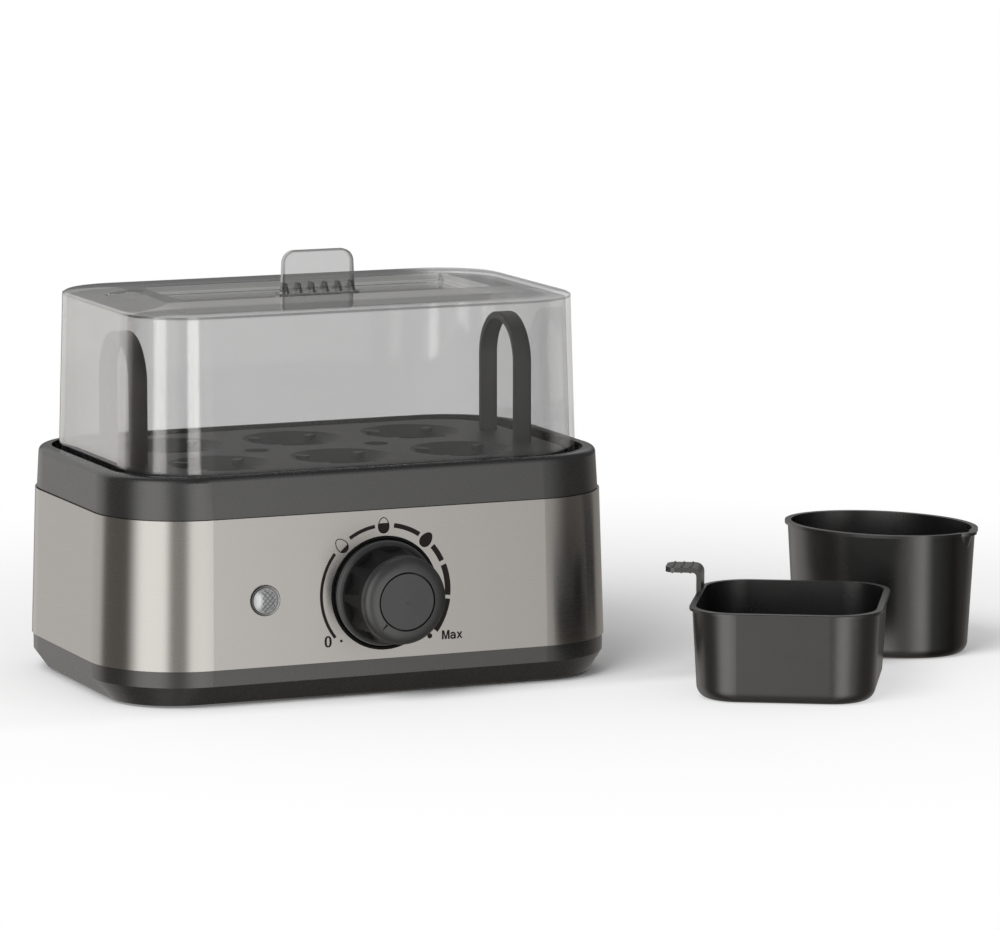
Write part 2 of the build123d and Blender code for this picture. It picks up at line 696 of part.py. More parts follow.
def terminal_block():
    """Three-way terminal block standing on the base's floor near the cord gland."""
    top = FLOOR_TOP + BLOCK_HEIGHT
    block = Box(BLOCK_LENGTH, BLOCK_WIDTH, BLOCK_HEIGHT)
    block = Pos(BLOCK_X, BLOCK_Y, FLOOR_TOP + BLOCK_HEIGHT / 2) * block
    for x, y in clamp_places():
        block -= rod(x, y, top - BLOCK_SINK, top + PAST, CLAMP_RADIUS + SEAT_GAP)
    return block


def terminal_screws():
    """Six clamping screws sunk in the terminal block."""
    foot = FLOOR_TOP + BLOCK_HEIGHT - BLOCK_SINK
    slot = Pos(0, 0, foot + CLAMP_HEIGHT) * Box(3 * CLAMP_RADIUS, DRIVER_SLOT, 2 * DRIVER_SLOT)
    screw = rod(0, 0, foot, foot + CLAMP_HEIGHT, CLAMP_RADIUS) - slot
    return Compound(children=[Pos(x, y, 0) * screw for x, y in clamp_places()])


def cord_gland():
    """Rubber grommet clipped into the base's tongue, with its open bore for the mains lead."""
    wall_out = SKIRT[1]
    wall_in = wall_out - SHELL_WALL
    fit = 2 * PRESS_GAP
    outline = [
        (GLAND_BORE, wall_in - SHELL_WALL - PAST),
        (GLAND_NECK + BLEND, wall_in - SHELL_WALL - PAST),
        (GLAND_NECK + GLAND_FLANGE, wall_in - fit),
        (GLAND_NECK, wall_in - fit),
        (GLAND_NECK, wall_out + fit),
        (GLAND_NECK + GLAND_FLANGE, wall_out + fit),
        (GLAND_NECK + GLAND_FLANGE, wall_out + fit + GLAND_HEAD / 2),
        (GLAND_NECK + GLAND_FLANGE - GLAND_HEAD / 3, wall_out + fit + GLAND_HEAD),
        (GLAND_BORE, wall_out + fit + GLAND_HEAD),
    ]
    return Pos(GLAND_X, 0, GLAND_Z) * Rot(-90, 0, 0) * spun(outline)


def rotary_control():
    """Rotary switch body with mounting plate, threaded bush and blade terminals."""
    case_back = CONTROL_BACK - CONTROL_CASE_DEPTH
    corner = 3.0
    case = RectangleRounded(CONTROL_CASE_WIDTH, CONTROL_CASE_HEIGHT, corner)
    plate = RectangleRounded(CONTROL_PLATE_WIDTH, CONTROL_PLATE_HEIGHT, corner)
    body = Pos(0, 0, case_back) * extrude(case, CONTROL_CASE_DEPTH)
    body += rod(0, 0, CONTROL_BACK - CONTROL_DEPTH, case_back + BLEND, CONTROL_MOTOR_RADIUS)
    body += Pos(0, 0, CONTROL_BACK) * extrude(plate, CONTROL_PLATE)
    body += rod(0, 0, CONTROL_FRONT - BLEND, CONTROL_FRONT + BUSH_LENGTH, BUSH_RADIUS)
    blade_y = BLADE_WIDTH / 2 + PAST - CONTROL_CASE_HEIGHT / 2
    for k in (-1.5, -0.5, 0.5, 1.5):
        blade = Box(BLADE_SHEET, BLADE_WIDTH, BLADE_LENGTH)
        body += Pos(k * BLADE_WIDTH * 1.25, blade_y, case_back) * blade
    shaft_room = PANEL_AT_KNOB - SHAFT_TAIL - SEAT_GAP
    body -= rod(0, 0, shaft_room, CONTROL_FRONT + BUSH_LENGTH + PAST, SHAFT_RADIUS + RUNNING_GAP)
    for x in (-CONTROL_SCREW_X, CONTROL_SCREW_X):
        hole = CONTROL_SCREW_SHANK + SEAT_GAP
        body -= rod(x, 0, CONTROL_BACK - PAST, CONTROL_FRONT + PAST, hole)
    return facing_front(KNOB_X, KNOB_Z) * body


def knob_bezel():
    """Round recess behind the knob: lip through the panel, flange behind it and two bosses."""
    lip_front = BAND_FOOT[1] + PAST
    flange_front = BEZEL_BACK + BEZEL_SHEET + KNOB_SKIRT_PROUD
    throat = BUSH_RADIUS + 0.5
    outline = [
        (throat, BEZEL_BACK),
        (BEZEL_FLANGE, BEZEL_BACK),
        (BEZEL_FLANGE, flange_front),
        (RECESS_RING, flange_front),
        (RECESS_RING, lip_front),
        (RECESS_RING - RING_WALL, lip_front),
        (RECESS_RING - RING_WALL, BEZEL_FLOOR),
        (throat, BEZEL_FLOOR),
    ]
    ring = spun(outline)
    for x in (-CONTROL_SCREW_X, CONTROL_SCREW_X):
        ring += rod(x, 0, CONTROL_FRONT + PRESS_GAP, BEZEL_BACK + BLEND, CONTROL_BOSS)
        ring -= rod(x, 0, CONTROL_FRONT, BEZEL_FLOOR - BLEND, CONTROL_SCREW_SHANK + PRESS_GAP)
    ring = facing_front(KNOB_X, KNOB_Z) * ring
    proud_foot = inset(BAND_FOOT, -RING_PROUD)
    proud_head = inset(BAND_HEAD, -RING_PROUD)
    return ring & tapered(proud_foot, SKIRT_TOP, proud_head, BAND_TOP)


def control_screws():
    """Two screws that hold the rotary control to the recess."""
    length = BEZEL_BACK - CONTROL_BACK + BEZEL_SHEET / 2
    screw = pan_head_screw(CONTROL_BACK, length, CONTROL_SCREW_SHANK, CONTROL_SCREW_HEAD)
    places = (-CONTROL_SCREW_X, CONTROL_SCREW_X)
    screws = Compound(children=[Pos(x, 0, 0) * screw for x in places])
    return facing_front(KNOB_X, KNOB_Z) * screws


def d_section(radius, flat, low, flat_from, high):
    """Return a round rod with a flat along its upper part."""
    cutter = Box(4 * radius, 2 * radius, high - flat_from)
    return rod(0, 0, low, high, radius) - Pos(0, flat + radius, (flat_from + high) / 2) * cutter


def knob_shaft():
    """Shaft of the rotary control, flattened where it enters the knob's hub."""
    tail = PANEL_AT_KNOB - SHAFT_TAIL
    shaft = d_section(SHAFT_RADIUS, SHAFT_RADIUS - SHAFT_FLAT, tail, FLAT_FROM, SHAFT_FRONT)
    return facing_front(KNOB_X, KNOB_Z) * Rot(0, 0, POINTER_ANGLE) * shaft


def knob_outline():
    """Return the knob's outline: skirt, flared waist, grip, rounded brow and cap seat."""
    edge = 0.3
    skirt_front = PANEL_AT_KNOB + KNOB_SKIRT_PROUD
    waist = PANEL_AT_KNOB + KNOB_WAIST
    brow = KNOB_FRONT - KNOB_BROW
    seat = CAP_RADIUS + CAP_RING_GAP
    corner = (KNOB_SKIRT, 0, KNOB_BACK + edge)
    lines = Polyline((0, 0, KNOB_BACK), (KNOB_SKIRT - edge, 0, KNOB_BACK), corner)
    lines += Line(corner, (KNOB_SKIRT, 0, skirt_front))
    waist_tangents = ((-1, 0, 0.15), (0, 0, 1))
    foot = (KNOB_GRIP_FOOT, 0, waist)
    lines += Spline((KNOB_SKIRT, 0, skirt_front), foot, tangents=waist_tangents)
    lines += Line(foot, (KNOB_GRIP, 0, brow))
    brow_tangents = ((0, 0, 1), (-1, 0, 0.1))
    lines += Spline((KNOB_GRIP, 0, brow), (seat, 0, KNOB_FRONT), tangents=brow_tangents)
    lines += Polyline((seat, 0, KNOB_FRONT), (seat, 0, CAP_SEAT), (0, 0, CAP_SEAT), (0, 0, KNOB_BACK))
    return make_face(lines)


def knob_body():
    """Moulded knob with finger flutes, hub, hollow back and a pointer notch on its brow."""
    knob = revolve(knob_outline(), Axis.Z)
    hollow_radius = KNOB_GRIP - FLUTE_DEPTH - KNOB_WALL
    hollow = rod(0, 0, KNOB_BACK - PAST, KNOB_ROOF, hollow_radius)
    hollow -= rod(0, 0, KNOB_BACK - 2 * PAST, KNOB_ROOF, HUB_RADIUS)
    knob -= hollow
    flute_low = PANEL_AT_KNOB + KNOB_WAIST + SEAT_GAP
    flute_high = KNOB_FRONT - KNOB_BROW - FLUTE_MARGIN
    reach = KNOB_GRIP + FLUTE_RADIUS - FLUTE_DEPTH
    for k in range(FLUTE_COUNT):
        turn = Rot(0, 0, (k + 0.5) * 360 / FLUTE_COUNT)
        knob -= turn * rod(reach, 0, flute_low, flute_high, FLUTE_RADIUS)
    bore_radius = SHAFT_RADIUS + RUNNING_GAP
    bore_flat = SHAFT_RADIUS - SHAFT_FLAT + RUNNING_GAP
    bore_end = SHAFT_FRONT + SEAT_GAP
    bore = d_section(bore_radius, bore_flat, KNOB_BACK - PAST, FLAT_FROM + SEAT_GAP, bore_end)
    pointer = Rot(0, 0, POINTER_ANGLE)
    knob -= pointer * bore
    knob -= rod(0, 0, KNOB_ROOF - PAST, CAP_SEAT + PAST, CAP_PEG + PRESS_GAP)
    notch = Box(POINTER_LENGTH, POINTER_WIDTH, 2 * POINTER_WIDTH)
    knob -= pointer * Pos((CAP_RADIUS + KNOB_GRIP) / 2, 0, KNOB_FRONT) * notch
    return facing_front(KNOB_X, KNOB_Z) * knob


def knob_cap():
    """Flush centre cap, pressed into the knob by a short peg."""
    edge = 0.4
    outline = [
        (0, CAP_SEAT),
        (CAP_RADIUS, CAP_SEAT),
        (CAP_RADIUS, CAP_SEAT + CAP_THICKNESS),
        (CAP_RADIUS - edge, CAP_SEAT + CAP_THICKNESS + CAP_CROWN / 2),
        (0, CAP_SEAT + CAP_THICKNESS + CAP_CROWN),
    ]
    cap = spun(outline) + rod(0, 0, KNOB_ROOF, CAP_SEAT + BLEND, CAP_PEG)
    return facing_front(KNOB_X, KNOB_Z) * cap


def knob_spring_ring():
    """Split steel ring that grips the knob's hub on the shaft."""
    inner = HUB_RADIUS + PRESS_GAP
    ring = Cylinder(inner + SPRING_SHEET, SPRING_WIDTH) - Cylinder(inner, 2 * SPRING_WIDTH)
    ring -= Pos(inner, 0, 0) * Box(HUB_RADIUS, SPRING_SPLIT, 2 * SPRING_WIDTH)
    return facing_front(KNOB_X, KNOB_Z) * Pos(0, 0, PANEL_AT_KNOB + SPRING_WIDTH) * ring


def lamp_bezel():
    """Lamp housing: flange on the panel, barrel through it."""
    seat = PANEL_AT_LAMP + 2 * PRESS_GAP
    front = PANEL_AT_LAMP + LAMP_BEZEL_PROUD
    edge = 0.4
    bore = LAMP_LENS + PRESS_GAP
    outline = [
        (bore, LAMP_BACK),
        (LAMP_BARREL, LAMP_BACK),
        (LAMP_BARREL, seat),
        (LAMP_BEZEL, seat),
        (LAMP_BEZEL, front - edge),
        (LAMP_BEZEL - edge, front),
        (bore + edge, front),
        (bore, front - edge),
    ]
    return facing_front(LAMP_X, LAMP_Z) * spun(outline)


def lamp_lens():
    """Clear domed lens of the lamp, hollow behind."""
    shoulder = PANEL_AT_LAMP + LAMP_BEZEL_PROUD / 2
    sphere = (LAMP_LENS**2 + LENS_RISE**2) / (2 * LENS_RISE)
    dome = Pos(0, 0, shoulder + LENS_RISE - sphere) * Sphere(sphere)
    dome &= rod(0, 0, shoulder - BLEND, shoulder + 2 * LENS_RISE, LAMP_LENS)
    tail = shoulder - LAMP_LENS + BLEND
    lens = rod(0, 0, tail, shoulder, LAMP_LENS) + dome
    lens -= rod(0, 0, tail - PAST, shoulder - LENS_WALL, LAMP_LENS - LENS_WALL)
    return facing_front(LAMP_X, LAMP_Z) * lens


def glow_lamp():
    """Small glass glow lamp behind the lens."""
    tail = PANEL_AT_LAMP - BULB_DEPTH
    tip = tail + 3 * BULB_RADIUS
    bulb = rod(0, 0, tail, tip, BULB_RADIUS) + Pos(0, 0, tip) * Sphere(BULB_RADIUS)
    return facing_front(LAMP_X, LAMP_Z) * bulb


def lamp_holder():
    """Cup that closes the lamp's barrel and carries the glow lamp."""
    plug = 2.1
    cap = 3.8
    cap_front = LAMP_BACK - PRESS_GAP
    bulb_seat = PANEL_AT_LAMP - BULB_DEPTH - PRESS_GAP
    holder = rod(0, 0, cap_front - cap, cap_front, LAMP_BARREL)
    holder += rod(0, 0, cap_front - BLEND, LAMP_BACK + plug, LAMP_LENS - PRESS_GAP)
    holder -= rod(0, 0, bulb_seat, LAMP_BACK + plug + PAST, BULB_RADIUS + PRESS_GAP)
    for side in (-1, 1):
        blade = Box(BLADE_SHEET, BLADE_WIDTH / 2, BLADE_LENGTH)
        holder += Pos(side * BULB_RADIUS, 0, cap_front - cap - BLADE_LENGTH / 4) * blade
    return facing_front(LAMP_X, LAMP_Z) * holder


def lamp_retainer():
    """Toothed push-on washer that holds the lamp's barrel behind the panel."""
    washer = Cylinder(WASHER_RADIUS, WASHER_SHEET)
    washer -= Cylinder(LAMP_BARREL + PRESS_GAP, 2 * WASHER_SHEET)
    teeth = 6
    for k in range(teeth):
        cut = Box(2.0, WASHER_SHEET, 2 * WASHER_SHEET)
        washer -= Rot(0, 0, 360 / teeth * k) * Pos(LAMP_BARREL + WASHER_SHEET, 0, 0) * cut
    behind = panel_reach(LAMP_Z + WASHER_RADIUS) - BAND_SHEET - PRESS_GAP - WASHER_SHEET / 2
    return facing_front(LAMP_X, LAMP_Z) * Pos(0, 0, behind) * washer


def seat_places():
    """Return the centres of the six egg seats."""
    columns = (-SEAT_PITCH_X, 0, SEAT_PITCH_X)
    rows = (-SEAT_PITCH_Y / 2, SEAT_PITCH_Y / 2)
    return [(x, y) for x in columns for y in rows]


def egg_seat():
    """Return one dished egg seat: a conical wall with petals round its open throat."""
    throat_z = TRAY_TOP - SEAT_DROP
    cone = spun(
        [
            (SEAT_THROAT, throat_z),
            (SEAT_THROAT + TRAY_THICKNESS, throat_z),
            (SEAT_RIM, DECK_UNDER + BLEND),
            (SEAT_RIM, TRAY_TOP),
            (SEAT_MOUTH, TRAY_TOP),
        ]
    )
    petal = extrude(SlotOverall(PETAL_LENGTH, PETAL_WIDTH), PETAL_RISE)
    petal = Pos(SEAT_THROAT + PETAL_LENGTH / 3, 0, (throat_z + TRAY_TOP) / 2) * petal
    for k in range(SEAT_PETALS):
        cone += Rot(0, 0, 360 / SEAT_PETALS * (k + 0.5)) * petal
    return cone


def egg_tray():
    """Lift-out tray: sloped skirt, deck, six dished seats with petals, steam holes and slots."""
    tray = tapered(TRAY_FOOT, TRAY_FOOT_Z, TRAY_HEAD, TRAY_TOP)
    inner_foot = inset(TRAY_FOOT, TRAY_THICKNESS)
    inner_head = inset(TRAY_HEAD, TRAY_THICKNESS)
    tray -= tapered(inner_foot, TRAY_FOOT_Z, inner_head, DECK_UNDER)
    seat = egg_seat()
    for x, y in seat_places():
        tray -= rod(x, y, DECK_UNDER - PAST, TRAY_TOP + PAST, SEAT_RIM - PAST)
        tray += Pos(x, y, 0) * seat
    for x in (-SEAT_PITCH_X / 2, SEAT_PITCH_X / 2):
        tray -= rod(x, 0, DECK_UNDER - PAST, TRAY_TOP + PAST, STEAM_HOLE)
    hole = Box(PEG_WIDTH + SEAT_GAP, PEG_THICKNESS + SEAT_GAP, 4 * TRAY_THICKNESS)
    for x, y in four_ways(STRAP_X, LEG_Y):
        tray -= Pos(x, y, TRAY_TOP) * hole
    return tray


def tray_handle(side):
    """Strap handle in an upturned U with two pegs through the tray's deck."""
    outer = STRAP_SPAN / 2
    inner = outer - STRAP_THICKNESS
    spring = STRAP_HEIGHT - outer
    arch = Pos(0, spring) * Circle(outer) + Pos(0, spring / 2) * Rectangle(2 * outer, spring)
    arch -= Pos(0, spring) * Circle(inner)
    arch -= Pos(0, (spring - PAST) / 2) * Rectangle(2 * inner, spring + PAST)
    arch &= Pos(0, STRAP_HEIGHT / 2) * Rectangle(3 * outer, STRAP_HEIGHT)
    strap = extrude(arch, STRAP_WIDTH / 2, both=True)
    strap = fillet(strap.edges().filter_by(GeomType.CIRCLE), STRAP_EDGE)
    strap = Pos(side * STRAP_X, 0, TRAY_TOP) * Plane.YZ.location * strap
    peg_drop = TRAY_THICKNESS + PAST
    peg = Box(PEG_WIDTH, PEG_THICKNESS, peg_drop + BLEND)
    for y in (-LEG_Y, LEG_Y):
        strap += Pos(side * STRAP_X, y, TRAY_TOP + (BLEND - peg_drop) / 2) * peg
    return strap


def roof_facet(side, rim_z):
    """Return the wedge that planes the lid's roof down to a flat facet at one end."""
    rim_x = LID_HEAD[0] - FACET_RIM_INSET
    crest_x = LID_HEAD[0] - FACET_CREST_INSET
    fall = (LID_CREST_Z - rim_z) / (rim_x - crest_x)
    far_x = LID_HEAD[0] + PAST
    far_z = LID_CREST_Z - (far_x - crest_x) * fall
    outline = Polyline(
        (side * crest_x, 0, LID_CREST_Z),
        (side * far_x, 0, far_z),
        (side * far_x, 0, LID_CREST_Z + PAST),
        (side * crest_x, 0, LID_CREST_Z + PAST),
        close=True,
    )
    return extrude(make_face(outline), LID_HEAD[1], both=True)


def steam_slot(radius):
    """Return the cutter of one curved steam slot through the lid's roof."""
    start = 90 - SLOT_HALF_TURN
    path = CenterArc((SLOT_PLACE_X, SLOT_PLACE_Y), radius, start, 2 * SLOT_HALF_TURN)
    slot = SlotArc(path, SLOT_WIDTH)
    return Pos(0, 0, LID_EDGE_Z - 2 * LID_WALL) * extrude(slot, 4 * LID_WALL)


def peg_places():
    """Return where the lid handle's pegs pass through the recess floor."""
    return [GRIP_CENTRE_X - GRIP_PEG_REACH, GRIP_CENTRE_X + GRIP_PEG_REACH]


def lid_shell():
    """Clear lid: flared wall, roof with end facets, sunken panel for the handle, steam slots."""
    shoulder = inset(LID_HEAD, SHOULDER_INSET)
    shoulder_z = LID_EDGE_Z + SHOULDER_RISE
    crest = (LID_HEAD[0] - ROOF_INSET_X, LID_HEAD[1] - ROOF_INSET_Y, RECESS_CORNER)
    outer = tapered(LID_FOOT, LID_FOOT_Z, LID_HEAD, LID_EDGE_Z)
    outer += tapered(LID_HEAD, LID_EDGE_Z, shoulder, shoulder_z)
    outer += tapered(shoulder, shoulder_z, crest, LID_CREST_Z)
    for side in (-1, 1):
        outer -= roof_facet(side, shoulder_z)
    pit = inset(RECESS, RECESS_SLOPE, RECESS_CORNER / 2)
    outer -= tapered(pit, RECESS_FLOOR_Z, RECESS, LID_CREST_Z)
    room_head = inset(LID_HEAD, LID_WALL)
    room_edge_z = LID_EDGE_Z - LID_WALL + SHOULDER_RISE
    room_crest = inset(crest, LID_WALL, RECESS_CORNER)
    room = tapered(inset(LID_FOOT, LID_WALL), LID_FOOT_Z, room_head, room_edge_z)
    room += tapered(room_head, room_edge_z, room_crest, LID_CREST_Z - LID_WALL - BLEND)
    pit_skin = inset(pit, -LID_WALL)
    recess_skin = inset(RECESS, -LID_WALL)
    room -= tapered(pit_skin, RECESS_FLOOR_Z - LID_WALL, recess_skin, LID_CREST_Z)
    lid = outer - room
    for radius in SLOT_RADII:
        lid -= steam_slot(radius)
    for x in peg_places():
        lid -= rod(x, 0, RECESS_FLOOR_Z - LID_WALL - PAST, RECESS_FLOOR_Z + PAST, GRIP_PEG + PRESS_GAP)
    return lid


def lid_handle():
    """Clear upright finger plate with a foot, gussets on both sides and two pegs."""
    reach = GRIP_THICKNESS / 2 + GUSSET_REACH
    corner = reach * GRIP_FOOT_ROUND
    place = Pos(GRIP_CENTRE_X, 0, RECESS_FLOOR_Z)
    foot = RectangleRounded(GRIP_FOOT_WIDTH, 2 * reach, corner)
    handle = place * extrude(foot, GRIP_FOOT_HEIGHT)
    top = GRIP_WIDTH / 2
    low = top + GRIP_FLARE
    plate = Polyline((-low, 0), (low, 0), (top, GRIP_RISE), (-top, GRIP_RISE), close=True)
    blade = extrude(make_face(plate), GRIP_THICKNESS / 2, both=True)
    top_corners = blade.edges().filter_by(Axis.Z).group_by(Axis.Y)[-1]
    blade = fillet(top_corners, GRIP_CORNER)
    handle += place * Rot(90, 0, 0) * blade
    neck = GRIP_THICKNESS / 2
    gusset_top = GUSSET_RISE + BLEND
    wedge = Polyline((-reach, 0), (reach, 0), (neck, gusset_top), (-neck, gusset_top), close=True)
    gusset = Plane.YZ.location * extrude(make_face(wedge), GUSSET_WALL / 2, both=True)
    for k in range(GUSSET_COUNT):
        x = (k - (GUSSET_COUNT - 1) / 2) * GUSSET_PITCH
        handle += place * Pos(x, 0, GRIP_FOOT_HEIGHT - BLEND) * gusset
    for x in peg_places():
        handle += rod(x, 0, RECESS_FLOOR_Z - LID_WALL, RECESS_FLOOR_Z + BLEND, GRIP_PEG)
    return handle


def poaching_dish():
    """Square poaching dish with a rolled rim and a ribbed, bent finger tab on its left side."""
    rim = (DISH_HALF_X, DISH_HALF_Y, DISH_CORNER)
    head = inset(rim, RIM_REACH)
    foot = inset(head, DISH_INSET - RIM_REACH)
    body = tapered(foot, 0, head, DISH_HEIGHT)
    body = fillet(body.edges().group_by(Axis.Z)[0], DISH_EDGE)
    body += prism(rim, DISH_HEIGHT - RIM_HEIGHT, DISH_HEIGHT)
    body = fillet(body.edges().group_by(Axis.Z)[-1], RIM_EDGE)
    room = tapered(inset(foot, DISH_WALL), DISH_WALL, inset(head, DISH_WALL), DISH_HEIGHT + PAST)
    room = fillet(room.edges().group_by(Axis.Z)[0], DISH_EDGE - DISH_WALL)
    dish = body - room + (finger_tab() - room)
    return Pos(DISH_X, DISH_Y, 0) * Rot(0, 0, DISH_TURN) * dish


def finger_tab():
    """Bent strap above the dish's rim, with small grip ribs on its flat end."""
    inner = DISH_HALF_X - TAB_THICKNESS
    low = DISH_HEIGHT - RIM_HEIGHT
    top = DISH_HEIGHT + TAB_RISE
    under = top - TAB_THICKNESS
    tip = -DISH_HALF_X - TAB_REACH
    diagonal = 0.5**0.5
    near = diagonal * (TAB_BEND - TAB_THICKNESS)
    far = diagonal * TAB_BEND
    centre_x = -inner - TAB_BEND
    centre_z = top - TAB_BEND
    lines = Polyline((-DISH_HALF_X, low), (-inner, low), (-inner, centre_z))
    lines += ThreePointArc((-inner, centre_z), (centre_x + far, centre_z + far), (centre_x, top))
    lines += Polyline((centre_x, top), (tip, top), (tip, under), (centre_x, under))
    inside = (centre_x + near, centre_z + near)
    lines += ThreePointArc((centre_x, under), inside, (-DISH_HALF_X, centre_z))
    lines += Line((-DISH_HALF_X, centre_z), (-DISH_HALF_X, low))
    strap = extrude(make_face(lines), TAB_WIDTH / 2, both=True)
    tip_edges = strap.edges().filter_by(Axis.Y).group_by(Axis.X)[0]
    strap = fillet(tip_edges, TAB_TIP)
    for k in range(TAB_RIB_COUNT):
        x = -DISH_HALF_X - TAB_RIB_START - TAB_RIB_PITCH * k
        for y in (top, under):
            strap += Pos(x, y, 0) * Cylinder(TAB_RIB, TAB_WIDTH - 2 * PAST)
    return Pos(0, TAB_CENTRE_Y, 0) * Rot(90, 0, 0) * strap


def oval(long_half, wide_half, z):
    """Return an oval face at a height."""
    return Pos(0, 0, z) * Ellipse(long_half, wide_half)


def spout(top_radius, foot_radius, z_top):
    """Return the pouring lip's cone, from the cup's wall up to its rim."""
    wall_x = CUP_HALF_LONG - RIM_REACH
    foot = Pos(wall_x - SPOUT_START, 0, CUP_HEIGHT - SPOUT_FALL) * Circle(foot_radius)
    mouth = Pos(wall_x + SPOUT_REACH - SPOUT_TOP, 0, z_top) * Circle(top_radius)
    return loft([foot, mouth], ruled=True)


def measuring_cup():
    """Oval measuring cup with flanged rim, pouring lip and a sunken underside with a pin."""
    draft = CUP_INSET - RIM_REACH
    long_top = CUP_HALF_LONG - RIM_REACH
    wide_top = CUP_HALF_WIDE - RIM_REACH
    body = loft([oval(long_top - draft, wide_top - draft, 0), oval(long_top, wide_top, CUP_HEIGHT)])
    body = fillet(body.edges().group_by(Axis.Z)[0], CUP_EDGE)
    body += spout(SPOUT_TOP, SPOUT_FOOT, CUP_HEIGHT)
    rim_foot = CUP_HEIGHT - RIM_HEIGHT
    rim = extrude(oval(CUP_HALF_LONG, CUP_HALF_WIDE, rim_foot), RIM_HEIGHT)
    rim += rod(long_top + SPOUT_REACH - SPOUT_TOP, 0, rim_foot, CUP_HEIGHT, SPOUT_TOP + RIM_REACH)
    body += rim
    long_room = long_top - CUP_WALL
    wide_room = wide_top - CUP_WALL
    above = CUP_HEIGHT + PRESS_GAP
    room_foot = oval(long_room - draft, wide_room - draft, CUP_FLOOR)
    room = loft([room_foot, oval(long_room, wide_room, above)])
    room = fillet(room.edges().group_by(Axis.Z)[0], CUP_EDGE - CUP_WALL)
    body -= room + spout(SPOUT_TOP - CUP_WALL, SPOUT_FOOT / 2, above)
    body -= rod(0, 0, -PAST, PIN_WELL_DEPTH, PIN_WELL)
    body -= rod(0, 0, 0, CUP_FLOOR - BLEND, PIN_RADIUS)
    return Pos(CUP_X, CUP_Y, 0) * Rot(0, 0, CUP_TURN) * body


def egg_pin():
    """Steel pin for piercing eggs, sunk under the measuring cup."""
    top = CUP_FLOOR - BLEND
    foot = top - PIN_LENGTH
    pin = rod(0, 0, foot + PIN_POINT, top, PIN_RADIUS)
    pin += Pos(0, 0, foot + PIN_POINT / 2) * Cone(PIN_RADIUS / 6, PIN_RADIUS, PIN_POINT)
    return Pos(CUP_X, CUP_Y, 0) * Rot(0, 0, CUP_TURN) * pin


PIECES = {
    "base_shell": base_shell,
    "rubber_feet": rubber_feet,
    "base_screws": base_screws,
    "steel_band": steel_band,
    "top_collar": top_collar,
    "heating_pan": heating_pan,
    "pan_seal": pan_seal,
    "pan_screws": pan_screws,
    "heating_element": heating_element,
    "element_terminals": element_terminals,
    "element_clips": element_clips,
    "limit_thermostat": limit_thermostat,
    "thermal_fuse": thermal_fuse,
    "terminal_block": terminal_block,
    "terminal_screws": terminal_screws,
    "cord_gland": cord_gland,
    "rotary_control": rotary_control,
    "knob_bezel": knob_bezel,
    "control_screws": control_screws,
    "lamp_bezel": lamp_bezel,
    "lamp_lens": lamp_lens,
    "glow_lamp": glow_lamp,
    "lamp_holder": lamp_holder,
    "lamp_retainer": lamp_retainer,
    "knob_shaft": knob_shaft,
    "knob_body": knob_body,
    "knob_cap": knob_cap,
    "knob_spring_ring": knob_spring_ring,
    "egg_tray": egg_tray,
    "tray_handle_left": lambda: tray_handle(-1),
    "tray_handle_right": lambda: tray_handle(1),
    "lid_shell": lid_shell,
    "lid_handle": lid_handle,
    "poaching_dish": poaching_dish,
    "measuring_cup": measuring_cup,
    "egg_pin": egg_pin,
}


def main():
    """Build every piece and write it as a STEP file of its own."""
    os.makedirs("parts", exist_ok=True)
    for name, make in PIECES.items():
        piece = make()
        export_step(piece, f"parts/{name}.step")
        print(f"{name}: {piece.volume / 1000:.2f} cm3")


if __name__ == "__main__":
    main()
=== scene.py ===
"""Looks of an electric egg cooker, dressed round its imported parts.

The cooker stands at the origin and its front panel faces -Y. The poaching dish and the measuring
cup stand to its right. Lengths are metres, but for names that end in _mm, for the printed marks
and for the places that materials work on: those are millimetres.
"""

import logging
import math
from collections.abc import Callable
from dataclasses import dataclass, field
from enum import StrEnum, auto
from typing import ClassVar

import bmesh
import bpy
import numpy as np
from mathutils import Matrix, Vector


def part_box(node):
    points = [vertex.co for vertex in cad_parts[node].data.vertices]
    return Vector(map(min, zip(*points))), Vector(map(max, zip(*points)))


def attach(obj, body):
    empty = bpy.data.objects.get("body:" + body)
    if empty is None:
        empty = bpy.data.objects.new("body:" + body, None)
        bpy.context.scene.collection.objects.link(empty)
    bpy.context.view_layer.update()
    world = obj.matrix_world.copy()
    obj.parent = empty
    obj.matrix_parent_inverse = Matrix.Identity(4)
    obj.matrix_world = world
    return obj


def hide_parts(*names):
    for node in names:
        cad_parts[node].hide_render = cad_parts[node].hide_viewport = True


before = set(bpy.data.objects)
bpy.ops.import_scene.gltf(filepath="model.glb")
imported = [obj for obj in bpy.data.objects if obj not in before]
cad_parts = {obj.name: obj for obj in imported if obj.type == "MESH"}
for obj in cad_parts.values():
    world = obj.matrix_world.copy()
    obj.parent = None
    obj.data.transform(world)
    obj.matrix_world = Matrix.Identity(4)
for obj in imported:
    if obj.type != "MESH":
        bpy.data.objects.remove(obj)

MM = 0.001
MERGE_REACH = 1e-7
LOG = logging.getLogger("egg_cooker")

Array = np.ndarray
Pair = tuple[float, float]
Triple = tuple[float, float, float]
Quad = tuple[float, float, float, float]
Colour = Triple
Socket = bpy.types.NodeSocket
Piece = bpy.types.Object


class Body(StrEnum):
    """The bodies that pieces ride on, each spelt as its name in small letters."""

    BASE = auto()
    KNOB = auto()
    TRAY = auto()
    LID = auto()
    DISH = auto()
    CUP = auto()


